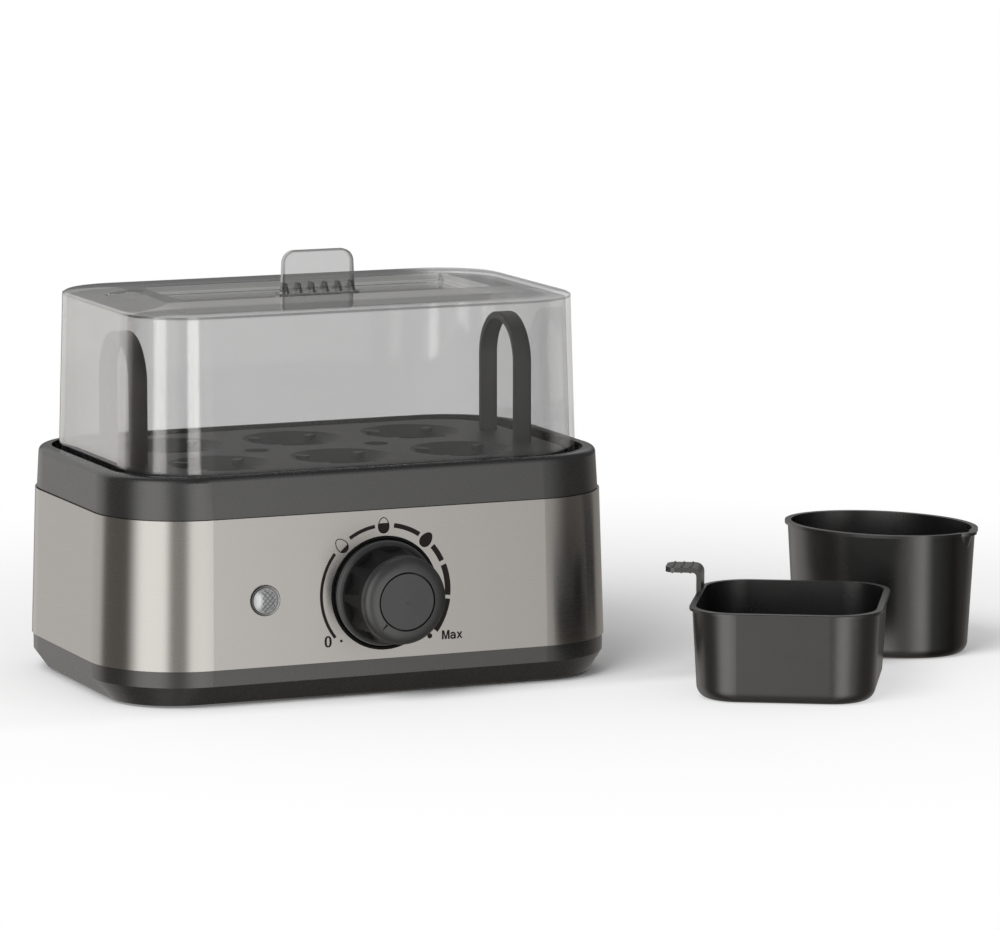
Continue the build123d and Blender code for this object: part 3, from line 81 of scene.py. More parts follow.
class Slot(StrEnum):
    """The record's material slots, each spelt as its name in small letters."""

    BLACK_PLASTIC = auto()
    GREY_PLASTIC = auto()
    KNOB_PLASTIC = auto()
    TRAY_PLASTIC = auto()
    CUP_PLASTIC = auto()
    SMOKED_CLEAR = auto()
    BRUSHED_STEEL = auto()
    ZINC_STEEL = auto()
    PAN_COATING = auto()
    ELEMENT_SHEATH = auto()
    CERAMIC = auto()
    IVORY_PLASTIC = auto()
    RUBBER = auto()
    LAMP_LENS = auto()
    LAMP_GLASS = auto()


def math_node(operation: str, reflected: bool = False) -> Callable[..., "Signal"]:
    """Make a method of Signal that adds one Math node.

    Args:
        operation: The node's operation.
        reflected: Whether the signal is the node's last input instead of its first.

    Returns:
        The method, which takes the node's other input where it has one.
    """

    def method(self: "Signal", *others: "Signal | float") -> "Signal":
        """Return the new node's output."""
        values = (*others, self) if reflected else (self, *others)
        node = self.graph.node("ShaderNodeMath", {"operation": operation}, dict(enumerate(values)))
        return Signal(self.graph, node.outputs[0])

    return method


class Signal:
    """A number that varies over a surface. Python's operators on it add Math nodes."""

    def __init__(self, graph: "Graph", socket: Socket) -> None:
        """Keep the output socket that gives the number, and the graph that holds it."""
        self.graph = graph
        self.socket = socket

    __add__ = __radd__ = math_node("ADD")
    __mul__ = __rmul__ = math_node("MULTIPLY")
    __sub__ = math_node("SUBTRACT")
    __rsub__ = math_node("SUBTRACT", reflected=True)
    __truediv__ = math_node("DIVIDE")
    __pow__ = math_node("POWER")
    __abs__ = math_node("ABSOLUTE")
    at_least = math_node("MAXIMUM")
    arc_tangent = math_node("ARCTAN2")

    def step(self, low: float, high: float) -> "Signal":
        """Return 0 below low, 1 above high and a smooth rise between."""
        inputs = {"Value": self, "From Min": low, "From Max": high}
        node = self.graph.node("ShaderNodeMapRange", {"interpolation_type": "SMOOTHSTEP"}, inputs)
        return Signal(self.graph, node.outputs[0])

    def band(self, start: float, full: float, last: float, end: float) -> "Signal":
        """Return 1 from full to last and 0 before start and after end, smooth between."""
        return self.step(start, full) * (1 - self.step(last, end))


def distance(across: Signal, along: Signal) -> Signal:
    """Return the length of a step that goes so far across and so far along."""
    return (across * across + along * along) ** 0.5


def turned(x: Signal | Array, y: Signal | Array, turn_deg: float) -> tuple:
    """Return a place's two parts after an anticlockwise turn about the origin."""
    sine, cosine = math.sin(math.radians(turn_deg)), math.cos(math.radians(turn_deg))
    return x * cosine - y * sine, x * sine + y * cosine


class Graph:
    """The node graph of one material or world."""

    def __init__(self, owner: bpy.types.Material | bpy.types.World) -> None:
        """Empty the graph of the material or world that is to be built."""
        owner.use_nodes = True
        self.tree = owner.node_tree
        self.tree.nodes.clear()

    def node(
        self,
        kind: str,
        settings: dict[str, object] | None = None,
        inputs: dict[str | int, object] | None = None,
    ) -> bpy.types.Node:
        """Add a node, set its settings and then its sockets.

        Args:
            kind: The node's type.
            settings: Attributes of the node, such as a Math node's operation.
            inputs: Values, signals or sockets for the node's inputs, by name or number.

        Returns:
            The new node.
        """
        made = self.tree.nodes.new(kind)
        for name, value in (settings or {}).items():
            setattr(made, name, value)
        for key, value in (inputs or {}).items():
            socket = value.socket if isinstance(value, Signal) else value
            if isinstance(socket, Socket):
                self.tree.links.new(socket, made.inputs[key])
            else:
                made.inputs[key].default_value = socket
        return made

    def place(self) -> Socket:
        """Return the point's place in the piece's own coordinates, in metres."""
        return self.node("ShaderNodeTexCoord").outputs["Object"]

    def axes(self) -> tuple[Signal, Signal, Signal]:
        """Return the point's x, y and z in millimetres."""
        inputs = {0: self.place(), "Scale": 1.0 / MM}
        scaled = self.node("ShaderNodeVectorMath", {"operation": "SCALE"}, inputs)
        parts = self.node("ShaderNodeSeparateXYZ", inputs={0: scaled.outputs[0]})
        return tuple(Signal(self, out) for out in parts.outputs)

    def noise(
        self, size_mm: float, detail: float = 2.0, stretch: Triple = (1.0, 1.0, 1.0)
    ) -> Signal:
        """Return a cloudy pattern between 0 and 1.

        Args:
            size_mm: The size of one cloud.
            detail: How many finer octaves are laid over it.
            stretch: How many times longer the clouds are along x, y and z.

        Returns:
            The pattern.
        """
        scale = [1.0 / (size_mm * MM * s) for s in stretch]
        mapped = self.node("ShaderNodeMapping", inputs={"Vector": self.place(), "Scale": scale})
        inputs = {"Vector": mapped.outputs[0], "Scale": 1.0, "Detail": detail}
        return Signal(self, self.node("ShaderNodeTexNoise", inputs=inputs).outputs[0])

    def cells(self, size_mm: float) -> Signal:
        """Return the distance to the nearest of scattered points, in shares of their spacing."""
        inputs = {"Vector": self.place(), "Scale": 1.0 / (size_mm * MM)}
        return Signal(self, self.node("ShaderNodeTexVoronoi", inputs=inputs).outputs["Distance"])

    def blend(self, mask: Signal, first: Colour | Socket, second: Colour) -> Socket:
        """Return the first colour where the mask is 0 and the second where it is 1."""
        start = first if isinstance(first, Socket) else (*first, 1.0)
        inputs = {0: mask, 6: start, 7: (*second, 1.0)}
        return self.node("ShaderNodeMix", {"data_type": "RGBA"}, inputs).outputs[2]

    def tones(self, mask: Signal, colour: Colour, low: float, high: float) -> Socket:
        """Return a colour times low where the mask is 0 and times high where it is 1."""
        return self.blend(mask, shade(colour, low), shade(colour, high))

    def mix(self, share: Signal, first: Socket, second: Socket) -> Socket:
        """Return the first shader where the share is 0 and the second where it is 1."""
        inputs = {0: share, 1: first, 2: second}
        return self.node("ShaderNodeMixShader", inputs=inputs).outputs[0]

    def bump(self, height: Signal, depth_mm: float) -> Socket:
        """Return normals tilted by a height pattern whose peaks are depth_mm high."""
        inputs = {"Height": height, "Distance": depth_mm * MM}
        return self.node("ShaderNodeBump", inputs=inputs).outputs[0]

    def principled(self, **inputs: object) -> Socket:
        """Return a Principled shader, its sockets named with underscores for their spaces."""
        named = {name.replace("_", " "): value for name, value in inputs.items()}
        return self.node("ShaderNodeBsdfPrincipled", inputs=named).outputs[0]

    def camera_rays(self) -> Signal:
        """Return 1 for what the camera sees directly, else 0."""
        return Signal(self, self.node("ShaderNodeLightPath").outputs["Is Camera Ray"])

    def surface(self, shader: Socket) -> None:
        """Put a shader on the output."""
        kind = "World" if isinstance(self.tree.id_data, bpy.types.World) else "Material"
        self.node(f"ShaderNodeOutput{kind}", inputs={"Surface": shader})


def shade(colour: Colour, factor: float) -> Colour:
    """Return a colour made lighter or darker by a factor."""
    return tuple(channel * factor for channel in colour)


def painted(name: str, draw: Callable[[Graph], Socket]) -> bpy.types.Material:
    """Make a material.

    Args:
        name: Its name.
        draw: Draws its shader into a graph.

    Returns:
        The material.
    """
    made = bpy.data.materials.new(name)
    graph = Graph(made)
    graph.surface(draw(graph))
    return made


def linked(name: str, data: bpy.types.ID) -> Piece:
    """Make an object from its data and link it into the scene."""
    made = bpy.data.objects.new(name, data)
    bpy.context.scene.collection.objects.link(made)
    return made


@dataclass(frozen=True)
class Finish:
    """What every finish has: a name, and the record's slot that it stands for.

    In every kind, tones are the shares of the colour that a pattern sways it between, and a
    sheen is how far a pattern sways the roughness.
    """

    name: str
    slot: Slot

    def paint(self, graph: Graph) -> Socket:
        """Return the shader of this finish; each kind of finish draws its own."""
        raise NotImplementedError

    def material(self) -> bpy.types.Material:
        """Return this finish as a material, made once for all pieces that share it."""
        return bpy.data.materials.get(self.name) or painted(self.name, self.paint)


@dataclass(frozen=True)
class MouldedPlastic(Finish):
    """Injection-moulded plastic: fine spark texture, soft flow clouds and handling smudges."""

    colour: Colour
    roughness: float = 0.38
    index: float = 2.05
    grain_mm: float = 0.45
    grain_depth_mm: float = 0.004
    smudge: float = 0.07
    smudge_mm: float = 9.0
    flow_mm: float = 34.0
    tones: Pair = (0.82, 1.18)
    sheen: float = 0.05

    def grain(self, graph: Graph) -> Signal:
        """Return the spark texture as a height between 0 and 1."""
        return graph.noise(self.grain_mm)

    def paint(self, graph: Graph) -> Socket:
        """Grain bump, roughness and colour drift over clouds some centimetres wide."""
        smudges = graph.noise(self.smudge_mm, 4.0)
        grain = self.grain(graph)
        return graph.principled(
            Base_Color=graph.tones(graph.noise(self.flow_mm), self.colour, *self.tones),
            Roughness=self.roughness + (smudges - 0.5) * self.smudge + (grain - 0.5) * self.sheen,
            IOR=self.index,
            Normal=graph.bump(grain, self.grain_depth_mm),
        )


@dataclass(frozen=True)
class GripPlastic(MouldedPlastic):
    """Moulded plastic whose round grip, between two depths along -Y, is soft and matt."""

    grip_colour: Colour = (0.006, 0.006, 0.0062)
    grip_roughness: float = 0.5
    grip_index: float = 1.33
    grip_front_mm: float = 0.0
    grip_back_mm: float = 0.0
    fade_mm: float = 0.7
    pore_mm: float = 0.5
    pore_depth_mm: float = 0.006
    pore_tones: Pair = (0.7, 1.3)
    pore_sheen: float = 0.1

    def paint(self, graph: Graph) -> Socket:
        """The gloss of the moulding gives way to a soft matt skin on the grip."""
        back, front, fade = self.grip_back_mm, self.grip_front_mm, self.fade_mm
        grip = (0 - graph.axes()[1]).band(back, back + fade, front - fade, front)
        pores = graph.noise(self.pore_mm, 3.0)
        soft = graph.principled(
            Base_Color=graph.tones(pores, self.grip_colour, *self.pore_tones),
            Roughness=self.grip_roughness + (pores - 0.5) * self.pore_sheen,
            IOR=self.grip_index,
            Normal=graph.bump(pores, self.pore_depth_mm),
        )
        return graph.mix(grip, super().paint(graph), soft)


@dataclass(frozen=True)
class RingPlastic(MouldedPlastic):
    """Dark moulded ring round an axis along y, with an inner part of another colour, which can
    carry painted shade and light.
    """

    centre_mm: Pair = (0.0, 0.0)
    lip_mm: float = 5.6
    edge_mm: float = 0.12
    lip_colour: Colour = (0.36, 0.355, 0.34)
    lip_roughness: float = 0.3
    lip_index: float = 1.5
    lip_range: Pair = (0.9, 1.1)
    lip_painted_light_and_shade: float = 0.0
    painted_light_and_shade_mm: Pair = (-3.5, 5.0)
    fog_mm: float = 2.0
    fog_sheen: float = 0.06

    def paint(self, graph: Graph) -> Socket:
        """The inner part starts where the distance to the axis falls under its radius.

        Its tone follows a fine fog, or, by a share of it, runs from painted shade on the left to a
        painted highlight on the right.
        """
        x, _, z = graph.axes()
        beside = x - self.centre_mm[0]
        away = distance(beside, z - self.centre_mm[1])
        lip = 1 - away.step(self.lip_mm - self.edge_mm, self.lip_mm + self.edge_mm)
        fog = graph.noise(self.fog_mm)
        # Painted light and shade: the lip darkens to the left and lightens to the right by this
        # share.
        tone = fog * (1 - self.lip_painted_light_and_shade) + beside.step(*self.painted_light_and_shade_mm) * self.lip_painted_light_and_shade
        inner = graph.principled(
            Base_Color=graph.tones(tone, self.lip_colour, *self.lip_range),
            Roughness=self.lip_roughness + (fog - 0.5) * self.fog_sheen,
            IOR=self.lip_index,
            Normal=graph.bump(self.grain(graph), self.grain_depth_mm),
        )
        return graph.mix(lip, super().paint(graph), inner)


@dataclass(frozen=True)
class HandledPlastic(MouldedPlastic):
    """Glossy moulded plastic with an upright patch where the hand has dulled it."""

    middle_mm: Pair = (223.3, -45.0)
    turn_deg: float = 23.1
    patch_mm: Quad = (14.0, 19.5, 26.5, 31.0)
    side_mm: Pair = (0.0, 1.0)
    film_mm: float = 3.0
    film_roughness: float = 0.03
    film_index: float = 1.4
    film_tones: Pair = (0.9, 1.1)

    def paint(self, graph: Graph) -> Socket:
        """The patch lies aside of the middle, between two distances, on the near side only."""
        x, y, _ = graph.axes()
        east, north = x - self.middle_mm[0], y - self.middle_mm[1]
        aside, beyond = turned(east, north, self.turn_deg)
        patch = aside.band(*self.patch_mm) * (1 - beyond.step(*self.side_mm))
        film = graph.noise(self.film_mm, 3.0)
        dull = graph.principled(
            Base_Color=graph.tones(film, self.colour, *self.film_tones),
            Roughness=self.roughness + self.film_roughness + (film - 0.5) * self.smudge,
            IOR=self.film_index,
            Normal=graph.bump(self.grain(graph), self.grain_depth_mm),
        )
        return graph.mix(patch, super().paint(graph), dull)


@dataclass(frozen=True)
class BrushedSteel(Finish):
    """Stainless sheet brushed along its length: long fine lines and faint cloudy bands."""

    colour: Colour
    roughness: float = 0.27
    anisotropy: float = 0.88
    brush_turn: float = 0.25
    line_mm: float = 0.2
    line_depth_mm: float = 0.0003
    line_stretch: Triple = (160.0, 160.0, 1.0)
    band_mm: float = 2.6
    band_stretch: Triple = (30.0, 30.0, 1.0)
    cloud_mm: float = 45.0
    line_share: float = 0.6
    band_share: float = 0.3
    cloud_share: float = 0.3
    tones: Pair = (0.965, 1.035)
    line_sheen: float = 0.02
    band_sheen: float = 0.015

    def paint(self, graph: Graph) -> Socket:
        """Lines and bands are noise drawn out along x and y, so they run round the sheet."""
        lines = graph.noise(self.line_mm, 3.0, self.line_stretch) - 0.5
        bands = graph.noise(self.band_mm, 2.0, self.band_stretch) - 0.5
        clouds = graph.noise(self.cloud_mm) - 0.5
        tone = lines * self.line_share + bands * self.band_share + clouds * self.cloud_share + 0.5
        return graph.principled(
            Base_Color=graph.tones(tone, self.colour, *self.tones),
            Metallic=1.0,
            Roughness=self.roughness + bands * self.band_sheen + lines * self.line_sheen,
            Anisotropic=self.anisotropy,
            Anisotropic_Rotation=self.brush_turn,
            Normal=graph.bump(lines, self.line_depth_mm),
        )


@dataclass(frozen=True)
class PlatedSteel(Finish):
    """Zinc-plated or drawn steel: crystal spangle, fine drawing lines and dull patches."""

    colour: Colour
    roughness: float = 0.34
    spangle_mm: float = 1.6
    patch_mm: float = 5.0
    skin_mm: float = 0.3
    skin_depth_mm: float = 0.003
    tones: Pair = (0.8, 1.1)
    sheen: float = 0.22

    def paint(self, graph: Graph) -> Socket:
        """Cells give the spangle; noise dulls the plating in patches."""
        return graph.principled(
            Base_Color=graph.tones(graph.cells(self.spangle_mm), self.colour, *self.tones),
            Metallic=1.0,
            Roughness=self.roughness + (graph.noise(self.patch_mm, 3.0) - 0.5) * self.sheen,
            Normal=graph.bump(graph.noise(self.skin_mm), self.skin_depth_mm),
        )


@dataclass(frozen=True)
class PanCoating(Finish):
    """Dark non-stick coating with fine light flecks and a sprayed surface."""

    colour: Colour
    fleck: Colour
    roughness: float = 0.42
    index: float = 1.6
    fleck_mm: float = 1.4
    fleck_edge: Pair = (0.10, 0.20)
    drift_mm: float = 16.0
    spray_mm: float = 0.6
    spray_depth_mm: float = 0.012
    fleck_share: float = 0.4
    sheen: float = 0.12

    def paint(self, graph: Graph) -> Socket:
        """Flecks lie where the distance to scattered points is small."""
        fleck = 1 - graph.cells(self.fleck_mm).step(*self.fleck_edge)
        drift = graph.noise(self.drift_mm, 3.0)
        return graph.principled(
            Base_Color=graph.blend(fleck * (self.fleck_share + drift), self.colour, self.fleck),
            Roughness=self.roughness + (drift - 0.5) * self.sheen,
            IOR=self.index,
            Normal=graph.bump(graph.noise(self.spray_mm, 3.0), self.spray_depth_mm),
        )


@dataclass(frozen=True)
class SmokedClear(Finish):
    """Smoky clear plastic: grey haze thicker at a slant, a polished skin and a rim of painted
    shade.

    The ledge is the back wall of the roof's recess, given by its reach along y, the end of its
    reach either way along x, and its height. A painted highlight lies on it: a lighter, denser
    haze.
    """

    colour: Colour
    haze: float = 0.17
    slant_haze: float = 0.5
    slant_power: float = 3.0
    roughness: float = 0.05
    haze_roughness: float = 0.2
    index: float = 1.33
    glint_power: float = 1.6
    clear_end_mm: Pair = (50.0, 72.0)
    clear_share: float = 0.55
    rim_mm: Quad = (146.9, 147.3, 147.9, 148.0)
    rim_painted_shade: float = 0.3
    front_mm: Pair = (-43.0, -39.0)
    front_share: float = 0.45
    ledge_mm: Quad = (23.2, 23.6, 25.9, 26.3)
    ledge_end_mm: Pair = (61.5, 62.5)
    ledge_height_mm: Quad = (147.1, 147.5, 149.9, 150.15)
    painted_light_and_shade_colour: Colour = (0.34, 0.34, 0.335)
    painted_light_and_shade_haze: float = 0.45
    ripple_mm: float = 30.0
    ripple_depth_mm: float = 0.02
    ripple_tint: float = 0.02
    dust_mm: float = 1.1
    dust_haze: float = 0.01
    dust_sheen: float = 0.03

    def painted_light_and_shade(self, graph: Graph) -> Signal:
        """Return 1 on the ledge, where a painted highlight lies, else 0."""
        x, y, z = graph.axes()
        along = 1 - abs(x).step(*self.ledge_end_mm)
        return along * y.band(*self.ledge_mm) * z.band(*self.ledge_height_mm)

    def paint(self, graph: Graph) -> Socket:
        """A see-through grey layer under a mirror layer.

        The mirror's share is head_on + (1 - head_on) * facing^power, where facing is 1 minus the
        cosine of the view's slant, so both sides of the thin wall reflect alike. At the right end
        and along the front edge the wall is clearer: there facing counts less.
        """
        x, y, z = graph.axes()
        slant = Signal(graph, graph.node("ShaderNodeLayerWeight").outputs["Facing"])
        clear = x.step(*self.clear_end_mm)
        front = 1 - y.step(*self.front_mm)
        facing = slant * (1 - clear * self.clear_share) * (1 - front * self.front_share)
        ripple = graph.noise(self.ripple_mm, 1.0) - 0.5
        dust = graph.noise(self.dust_mm, 3.0) - 0.5
        scuff = self.roughness + dust * self.dust_sheen
        thick = (self.slant_haze - self.haze) * facing**self.slant_power
        # Painted shade: a band of denser dark haze along the roof's rim.
        rim = z.band(*self.rim_mm) * self.rim_painted_shade
        painted_light_and_shade = self.painted_light_and_shade(graph)
        # The blend paints light and shade into the haze: a lighter tint on the lid's ledge as a
        # highlight, a dark one on the plate.
        tint = graph.blend(painted_light_and_shade + ripple * self.ripple_tint, self.colour, self.painted_light_and_shade_colour)
        haze = graph.principled(
            Base_Color=tint,
            Roughness=scuff + self.haze_roughness,
            Specular_IOR_Level=0.0,
            Alpha=self.haze + thick + rim + painted_light_and_shade * self.painted_light_and_shade_haze + dust * self.dust_haze,
        )
        mirror = graph.principled(
            Base_Color=(1.0, 1.0, 1.0, 1.0),
            Metallic=1.0,
            Roughness=scuff,
            Normal=graph.bump(ripple, self.ripple_depth_mm),
        )
        head_on = ((self.index - 1.0) / (self.index + 1.0)) ** 2.0
        return graph.mix(head_on + (1.0 - head_on) * facing**self.glint_power, haze, mirror)


@dataclass(frozen=True)
class PlateClear(SmokedClear):
    """Smoky clear upright plate, with painted shade round its outline and on the gussets at its
    foot.
    """

    middle_x_mm: float = 0.6
    top_mm: float = 164.8
    half_mm: float = 14.6
    corner_mm: float = 5.0
    edge_mm: Pair = (4.0, 4.5)
    edge_shade_share: float = 0.7
    gusset_mm: Pair = (1.15, 1.3)
    foot_mm: Pair = (148.4, 148.5)

    def painted_light_and_shade(self, graph: Graph) -> Signal:
        """Return the painted shade: 1 on the gussets and a share of it near the outline.

        The outline is an oblong with round corners, so the edge goes by the distance out from
        the middle points of those corners. The gussets are what stands off the blade.
        """
        x, y, z = graph.axes()
        beside = (abs(x - self.middle_x_mm) - (self.half_mm - self.corner_mm)).at_least(0.0)
        above = (z - (self.top_mm - self.corner_mm)).at_least(0.0)
        painted_edge_shade = distance(beside, above).step(*self.edge_mm) * self.edge_shade_share
        painted_gusset_shade = abs(y).step(*self.gusset_mm) * z.step(*self.foot_mm)
        return painted_edge_shade + painted_gusset_shade * (1 - painted_edge_shade)


@dataclass(frozen=True)
class SoftRubber(Finish):
    """Matt rubber or silicone with a dusty bloom."""

    colour: Colour
    bloom: Colour
    roughness: float = 0.72
    bloom_mm: float = 3.0
    bloom_edge: Pair = (0.35, 0.8)
    pit_mm: float = 0.35
    pit_depth_mm: float = 0.01
    sheen: float = 0.15

    def paint(self, graph: Graph) -> Socket:
        """Bloom gathers in noise clouds; the skin is lightly pitted."""
        dust = graph.noise(self.bloom_mm, 4.0)
        return graph.principled(
            Base_Color=graph.blend(dust.step(*self.bloom_edge), self.colour, self.bloom),
            Roughness=self.roughness + (dust - 0.5) * self.sheen,
            Normal=graph.bump(graph.noise(self.pit_mm, 3.0), self.pit_depth_mm),
        )


@dataclass(frozen=True)
class Stoneware(Finish):
    """Unglazed steatite or hard thermoset: chalky body with fine pores."""

    colour: Colour
    pore: Colour
    roughness: float = 0.6
    pore_mm: float = 0.7
    pore_edge: Pair = (0.05, 0.25)
    pore_depth_mm: float = 0.01
    chalk_mm: float = 4.0
    sheen: float = 0.2

    def paint(self, graph: Graph) -> Socket:
        """Pores are small cells, darker and sunk."""
        body = graph.cells(self.pore_mm).step(*self.pore_edge)
        return graph.principled(
            Base_Color=graph.blend(1 - body, self.colour, self.pore),
            Roughness=self.roughness + (graph.noise(self.chalk_mm) - 0.5) * self.sheen,
            Normal=graph.bump(body, self.pore_depth_mm),
        )


@dataclass(frozen=True)
class PrintInk(Finish):
    """Screen-printed ink: nearly even, with a fine mesh texture and thin spots."""

    colour: Colour
    thin: Colour
    roughness: float = 0.45
    index: float = 1.25
    film_mm: float = 0.4
    film_depth_mm: float = 0.003
    thin_edge: Pair = (0.55, 0.95)
    sheen: float = 0.2

    def paint(self, graph: Graph) -> Socket:
        """Thin spots follow noise; the film is slightly orange-peeled."""
        film = graph.noise(self.film_mm, 3.0)
        return graph.principled(
            Base_Color=graph.blend(film.step(*self.thin_edge), self.colour, self.thin),
            Roughness=self.roughness + (film - 0.5) * self.sheen,
            IOR=self.index,
            Normal=graph.bump(film, self.film_depth_mm),
        )


@dataclass(frozen=True)
class LampClear(Finish):
    """Clear or frosted small optical part, silvery where it catches the light."""

    colour: Colour
    alpha: float
    roughness: float
    painted_highlight_mm: Pair = (0.0, 0.0)
    painted_highlight_tone: float = 1.0
    painted_highlight_half_mm: Pair = (3.1, 4.4)
    painted_highlight_edge: Pair = (0.15, 1.1)
    silver: float = 0.35
    ripple_mm: float = 1.5
    ripple_depth_mm: float = 0.01
    ripple_tint: float = 0.2
    sheen: float = 0.06

    def paint(self, graph: Graph) -> Socket:
        """A part-mirror, part-clear body with a painted highlight patch and moulding ripples.

        The painted highlight is an oval round its place, taller than wide.
        """
        ripple = graph.noise(self.ripple_mm) - 0.5
        x, _, z = graph.axes()
        aside = (x - self.painted_highlight_mm[0]) / self.painted_highlight_half_mm[0]
        above = (z - self.painted_highlight_mm[1]) / self.painted_highlight_half_mm[1]
        # Painted highlight: the colour is lifted in an oval patch on the lens.
        painted_highlight = 1 - (aside * aside + above * above).step(*self.painted_highlight_edge)
        tone = ripple * self.ripple_tint + painted_highlight
        return graph.principled(
            Base_Color=graph.tones(tone, self.colour, 1.0, self.painted_highlight_tone),
            Metallic=self.silver,
            Roughness=self.roughness + ripple * self.sheen,
            Alpha=self.alpha,
            Normal=graph.bump(ripple, self.ripple_depth_mm),
        )


SATIN_BLACK = ((0.013, 0.013, 0.0134), 0.27, 1.88, 0.45, 0.0015)
GLOSS_BLACK = ((0.003, 0.003, 0.0032), 0.29, 1.97)
SMOKE = (0.02, 0.02, 0.0205)

BLACK = MouldedPlastic("black_moulding", Slot.BLACK_PLASTIC, *SATIN_BLACK)
COLLAR = MouldedPlastic("collar_moulding", Slot.GREY_PLASTIC, *SATIN_BLACK)
# Black plastic made darker and duller than the rest: painted shade of the recess round the knob.
RECESS = MouldedPlastic("recess_moulding", Slot.BLACK_PLASTIC, (0.003, 0.003, 0.003), 0.6, 1.25)
KNOB = GripPlastic(
    "knob_moulding",
    Slot.KNOB_PLASTIC,
    (0.021, 0.0215, 0.022),
    0.36,
    1.75,
    grip_front_mm=86.0,
    grip_back_mm=70.6,
)
# The cap's rim, outside its lip, is near-black and matt: painted shade of the gap round the cap.
CAP = RingPlastic(
    "knob_cap_moulding",
    Slot.KNOB_PLASTIC,
    (0.002, 0.002, 0.002),
    0.6,
    1.2,
    centre_mm=(1.2, 40.2),
    lip_mm=10.75,
    lip_colour=(0.045, 0.045, 0.046),
    lip_roughness=0.5,
    lip_index=1.6,
)
TRAY = MouldedPlastic(
    "tray_moulding", Slot.TRAY_PLASTIC, (0.024, 0.024, 0.025), 0.42, 1.55, 0.7, 0.0008
)
VESSEL = MouldedPlastic("vessel_moulding", Slot.CUP_PLASTIC, *GLOSS_BLACK)
CUP = HandledPlastic("cup_moulding", Slot.CUP_PLASTIC, *GLOSS_BLACK)
IVORY = MouldedPlastic("ivory_moulding", Slot.IVORY_PLASTIC, (0.62, 0.57, 0.46), 0.5, 1.5)
STEEL = BrushedSteel("brushed_band_steel", Slot.BRUSHED_STEEL, (0.488, 0.475, 0.457))
ZINC = PlatedSteel("zinc_plate", Slot.ZINC_STEEL, (0.55, 0.56, 0.58))
SHEATH = PlatedSteel("heater_sheath", Slot.ELEMENT_SHEATH, (0.23, 0.21, 0.20), 0.45, 0.8)
COATING = PanCoating("pan_spray", Slot.PAN_COATING, (0.035, 0.035, 0.037), (0.16, 0.16, 0.17))
SMOKED = SmokedClear("lid_plastic", Slot.SMOKED_CLEAR, SMOKE)
# The plate's outline and gussets get painted shade: a denser dark smoke haze.
PLATE = PlateClear(
    "lid_handle_plastic",
    Slot.SMOKED_CLEAR,
    (0.23, 0.23, 0.228),
    0.31,
    rim_painted_shade=0.0,
    front_share=0.0,
    painted_light_and_shade_colour=SMOKE,
    painted_light_and_shade_haze=0.4,
)
RUBBER = SoftRubber("foot_rubber", Slot.RUBBER, (0.02, 0.02, 0.021), (0.05, 0.05, 0.05))
CERAMIC = Stoneware("terminal_ceramic", Slot.CERAMIC, (0.74, 0.71, 0.64), (0.45, 0.42, 0.36))
INK = PrintInk("dial_ink", Slot.BLACK_PLASTIC, (0.013, 0.0105, 0.0095), (0.028, 0.023, 0.02))
# The lamp ring's lip carries painted shade on its left and a painted highlight on its right.
BEZEL = RingPlastic(
    "lamp_ring_moulding",
    Slot.BLACK_PLASTIC,
    (0.022, 0.02, 0.018),
    0.5,
    1.35,
    centre_mm=(-47.5, 40.4),
    lip_range=(0.3, 1.35),
    lip_painted_light_and_shade=0.9,
)
# The lens carries a painted highlight: a lighter oval patch at its left.
LENS = LampClear(
    "lamp_lens_clear", Slot.LAMP_LENS, (0.33, 0.335, 0.34), 0.9, 0.16, (-51.4, 40.9), 1.9
)
BULB = LampClear("lamp_bulb_glass", Slot.LAMP_GLASS, (0.75, 0.62, 0.5), 0.6, 0.1)


def full_turn(points: int) -> Array:
    """Return evenly spaced angles that go once round, without the closing one."""
    return np.linspace(0.0, 2 * np.pi, points, endpoint=False)


def closed_skin(name: str, sections: Array, ends: bool, crease_deg: float = 35.0) -> Piece:
    """Make a closed solid from a row of closed loops.

    The skin joins point p of one loop to point p of the next. With ends, the first and last loops
    are filled; without, the last loop joins the first. Doubles are merged, faces turned outwards.

    Args:
        name: The new piece's name.
        sections: Points in an array of loops by points by three.
        ends: Whether the row has two filled ends.
        crease_deg: Edges that turn more than this stay sharp.

    Returns:
        The new object, at the origin.
    """
    loops, points = sections.shape[:2]
    here = np.arange(loops - 1 if ends else loops)[:, None] * points + np.arange(points)
    there = (here + points) % (loops * points)
    quads = np.stack([here, np.roll(here, -1, 1), np.roll(there, -1, 1), there], -1)
    faces = quads.reshape(-1, 4).tolist()
    if ends:
        faces += [list(range(points)), list(range((loops - 1) * points, loops * points))]
    mesh = bpy.data.meshes.new(name)
    mesh.from_pydata(sections.reshape(-1, 3).tolist(), [], faces)
    work = bmesh.new()
    work.from_mesh(mesh)
    bmesh.ops.remove_doubles(work, verts=work.verts, dist=MERGE_REACH)
    bmesh.ops.recalc_face_normals(work, faces=work.faces)
    work.to_mesh(mesh)
    work.free()
    mesh.shade_smooth()
    mesh.set_sharp_from_angle(angle=math.radians(crease_deg))
    return linked(name, mesh)


def wear(piece: Piece, finish: Finish, body: Body) -> Piece:
    """Give a new piece its finish and the body that it rides on.

    Args:
        piece: The finished piece.
        finish: Its finish.
        body: The body that carries it.

    Returns:
        The piece.
    """
    piece.data.materials.append(finish.material())
    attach(piece, body.value)
    return piece


